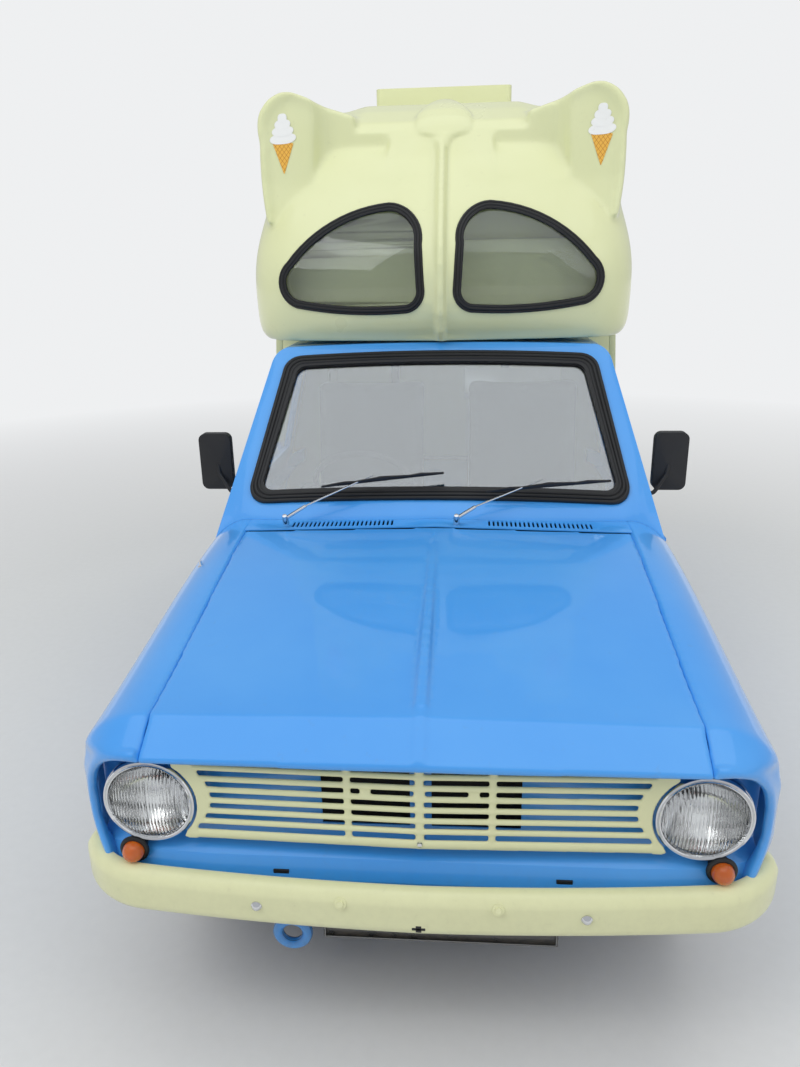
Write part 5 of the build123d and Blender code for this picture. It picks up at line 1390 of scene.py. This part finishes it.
# Wheels: treaded tyres, pressed rims with nuts and hub caps
TYRE_PROFILE = [(0.048, 0.166), (0.052, 0.177), (0.066, 0.203), (0.0755, 0.222), (0.0785, 0.240),
                (0.0765, 0.256), (0.071, 0.270), (0.064, 0.2795), (0.050, 0.2855), (0.040, 0.2868),
                (0.0385, 0.2800), (0.0335, 0.2800), (0.032, 0.2874), (0.0145, 0.2879), (0.013, 0.2805),
                (0.008, 0.2805), (0.0065, 0.2880)]
TREAD_STEPS = 90
TREAD_DEPTH = 0.0065
TREAD_FROM = 0.268
SHOULDER_FROM = 0.048
HUB_CAP = [(-0.004, 0.060), (0.004, 0.061), (0.010, 0.058), (0.016, 0.048), (0.021, 0.030), (0.023, 0.0)]
WHEEL_NUT = [(-0.012, 0.0095), (0.012, 0.0095), (0.015, 0.0065), (0.015, 0.0)]
NUT_CIRCLE = 0.082
CORNERS = [("front_left", 1, 0.700), ("front_right", -1, 0.700), ("rear_left", 1, 3.024),
           ("rear_right", -1, 3.024)]
TRACK_HALF = 0.610
WHEEL_R = 0.288


def make_wheels():
    """Four tyres and rims in place of the CAD ones."""
    profile = TYRE_PROFILE + [(-x, r) for x, r in TYRE_PROFILE[::-1]]
    for corner, side, station in CORNERS:
        centre = Vector((side * TRACK_HALF, y_at(station), WHEEL_R))
        tyre = turned("tyre_" + corner + "_treaded", profile + profile[:1], centre, (1, 0, 0), TREAD_STEPS)
        for vertex in tyre.data.vertices:
            arm = vertex.co - centre
            radius = Vector((arm.y, arm.z)).length
            step = round(atan2(arm.z, arm.y) / (2 * pi) * TREAD_STEPS)
            if radius >= TREAD_FROM and abs(arm.x) > SHOULDER_FROM and step % 3 == 0:
                shrink = 1 - TREAD_DEPTH / radius
                vertex.co = centre + Vector((arm.x, arm.y * shrink, arm.z * shrink))
        body = "wheel_" + corner
        smooth(tyre, 32)
        dress(tyre, "tyre_rubber", body)
        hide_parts("tyre_" + corner)
        softened("rim_" + corner, "wheel_paint", body, 0.0012)
        face = centre + Vector((side * 0.036, 0, 0))
        hub = [turned("cap", HUB_CAP, face, (side, 0, 0), 48)]
        for count in range(4):
            angle = radians(45 + 90 * count)
            place = face + Vector((-side * 0.004, NUT_CIRCLE * cos(angle), NUT_CIRCLE * sin(angle)))
            hub.append(turned("nut", WHEEL_NUT, place, (side, 0, 0), 6))
        bright = joined("hub_" + corner, hub)
        smooth(bright, 35)
        dress(bright, "bright_metal", body)


# Rear body: front corners drawn in, so that little of it shows beside the cab
BODY_NODES = ("body_side_left", "body_side_right", "body_ends")
BODY_TAPER = 0.095
SHELF_X = 0.742


def drawn_in(piece):
    """Taper the body's front corners below the pod, and press the counter shelf flat."""
    for vertex in piece.data.vertices:
        place = vertex.co
        side = 1 if place.x > 0 else -1
        ahead = ramp(y_at(2.52) - place.y, 0.30)
        low = ramp(1.500 - place.z, 0.06) * ramp(place.z - 0.960, 0.12)
        if abs(place.x) > 0.60:
            place.x -= side * BODY_TAPER * ahead * ahead * low
        if place.x > SHELF_X and place.z < 1.200:
            place.x = SHELF_X
    piece.data.update()


SOFTENED = [
    ("scuttle", "body_blue", "van", 0.0012), ("nose_panel", "body_blue", "van", 0.0015),
    ("windscreen_frame", "body_blue", "van", 0.005), ("cab_shell", "body_blue", "van", 0.003),
    ("door_left", "body_blue", "door_left", 0.0025), ("door_right", "body_blue", "door_right", 0.0025),
    ("skirts", "body_blue", "van", 0.004), ("sills", "body_blue", "van", 0.002),
    ("body_side_left", "cream_moulding", "van", 0.006), ("body_side_right", "cream_moulding", "van", 0.006),
    ("body_ends", "cream_moulding", "van", 0.004), ("body_roof", "cream_moulding", "van", 0.008),
    ("rear_door", "cream_moulding", "rear_door", 0.004), ("bumper_rear", "cream_paint", "van", 0.003),
    ("dashboard", "black_plastic", "van", 0.01), ("mirror_left", "black_plastic", "door_left", 0.008),
    ("mirror_right", "black_plastic", "door_right", 0.008), ("freezer", "white_panel", "van", 0.006),
    ("seat_frames", "chassis_black", "van", 0.01), ("number_plates", "plate_black", "van", 0.001),
]


place_camera()
pod_surface = make_pod()
make_window_rubber(pod_surface)
make_cones(pod_surface)
bpy.data.objects.remove(pod_surface)
for make in (make_bonnet, make_wings, make_headlamps, make_grille, make_front_bumper, make_wipers, make_trim,
             make_side_fittings, make_seats, make_wheels):
    make()
for plain_piece in SOFTENED:
    softened(*plain_piece)


# Stage: pale floor that fades into a pale background, soft lights
BACKGROUND = (0.86, 0.87, 0.88, 1)
FLOOR_SHADES = ((0.70, 0.70, 0.69, 1), (0.74, 0.74, 0.73, 1))
COOL_LIGHT = (0.92, 0.97, 1.0)
WARM_LIGHT = (1.0, 0.985, 0.96)


def rays_of(tree, *kinds):
    """1 for rays of any of the kinds, and 0 for others."""
    path = tree.nodes.new("ShaderNodeLightPath")
    amount = path.outputs[kinds[0]]
    for kind in kinds[1:]:
        amount = math_node(tree, "MAXIMUM", amount, path.outputs[kind])
    return amount


def blend_out(tree, amount, first, second, output):
    """Mix two shaders into an output node."""
    blend = put(tree, "ShaderNodeMixShader", Fac=amount)
    tree.links.new(first.outputs[0], blend.inputs[1])
    tree.links.new(second.outputs[0], blend.inputs[2])
    tree.links.new(blend.outputs[0], tree.nodes[output].inputs["Surface"])


def stage_floor():
    """Wide pale floor, melting into the background far from the vehicle."""
    bpy.ops.mesh.primitive_circle_add(vertices=96, radius=120, fill_type="NGON")
    floor = bpy.context.object
    floor.name = "floor"
    material, tree, shader = new_material("pale_floor")
    where = place_of(tree)
    reach = put(tree, "ShaderNodeVectorMath", Vector=where)
    reach.operation = "LENGTH"
    far = spread(tree, reach.outputs["Value"], 2.6, 8.0)
    grain = put(tree, "ShaderNodeTexNoise", Vector=where, Scale=30.0, Detail=4.0)
    set_inputs(tree, shader, Base_Color=mix_colour(tree, grain.outputs[0], *FLOOR_SHADES), Roughness=0.7)
    glow = put(tree, "ShaderNodeEmission", Color=BACKGROUND, Strength=1.0)
    seen = rays_of(tree, "Is Camera Ray", "Is Glossy Ray", "Is Transmission Ray")
    blend_out(tree, math_node(tree, "MULTIPLY", seen, far), shader, glow, "Material Output")
    floor.data.materials.append(material)


def light_world():
    """Even sky light; what the camera and glass see of it is the pale background."""
    world = bpy.data.worlds.new("soft_sky")
    bpy.context.scene.world = world
    world.use_nodes = True
    tree = world.node_tree
    sky = set_inputs(tree, tree.nodes["Background"], Color=(0.93, 0.96, 1.0, 1), Strength=0.55)
    seen_sky = put(tree, "ShaderNodeBackground", Color=BACKGROUND, Strength=1.0)
    blend_out(tree, rays_of(tree, "Is Camera Ray", "Is Transmission Ray"), sky, seen_sky, "World Output")


def area_light(name, place, aim, size, power):
    """Soft rectangular lamp aimed at a point; only the ceiling shows in reflections."""
    bpy.ops.object.light_add(type="AREA", location=place)
    lamp = bpy.context.object
    lamp.name = name
    lamp.data.shape = "RECTANGLE"
    lamp.data.size, lamp.data.size_y = size
    lamp.data.energy = power
    lamp.data.color = COOL_LIGHT if name == "ceiling" else WARM_LIGHT
    lamp.visible_glossy = name == "ceiling"
    lamp.rotation_euler = (Vector(aim) - Vector(place)).to_track_quat("-Z", "Y").to_euler()


stage_floor()
light_world()
area_light("key", (-4.5, -5.0, 6.5), (0, 0, 0.9), (5, 4), 215)
area_light("fill", (5.5, -3.5, 4.5), (0, 0, 0.9), (4, 4), 90)
area_light("rear", (2.0, 6.5, 5.5), (0, 0.5, 1.0), (5, 3), 130)
area_light("ceiling", (0, -2.4, 6.5), (0, -2.4, 0), (8, 6), 105)

bpy.context.scene.view_settings.view_transform = "Standard"
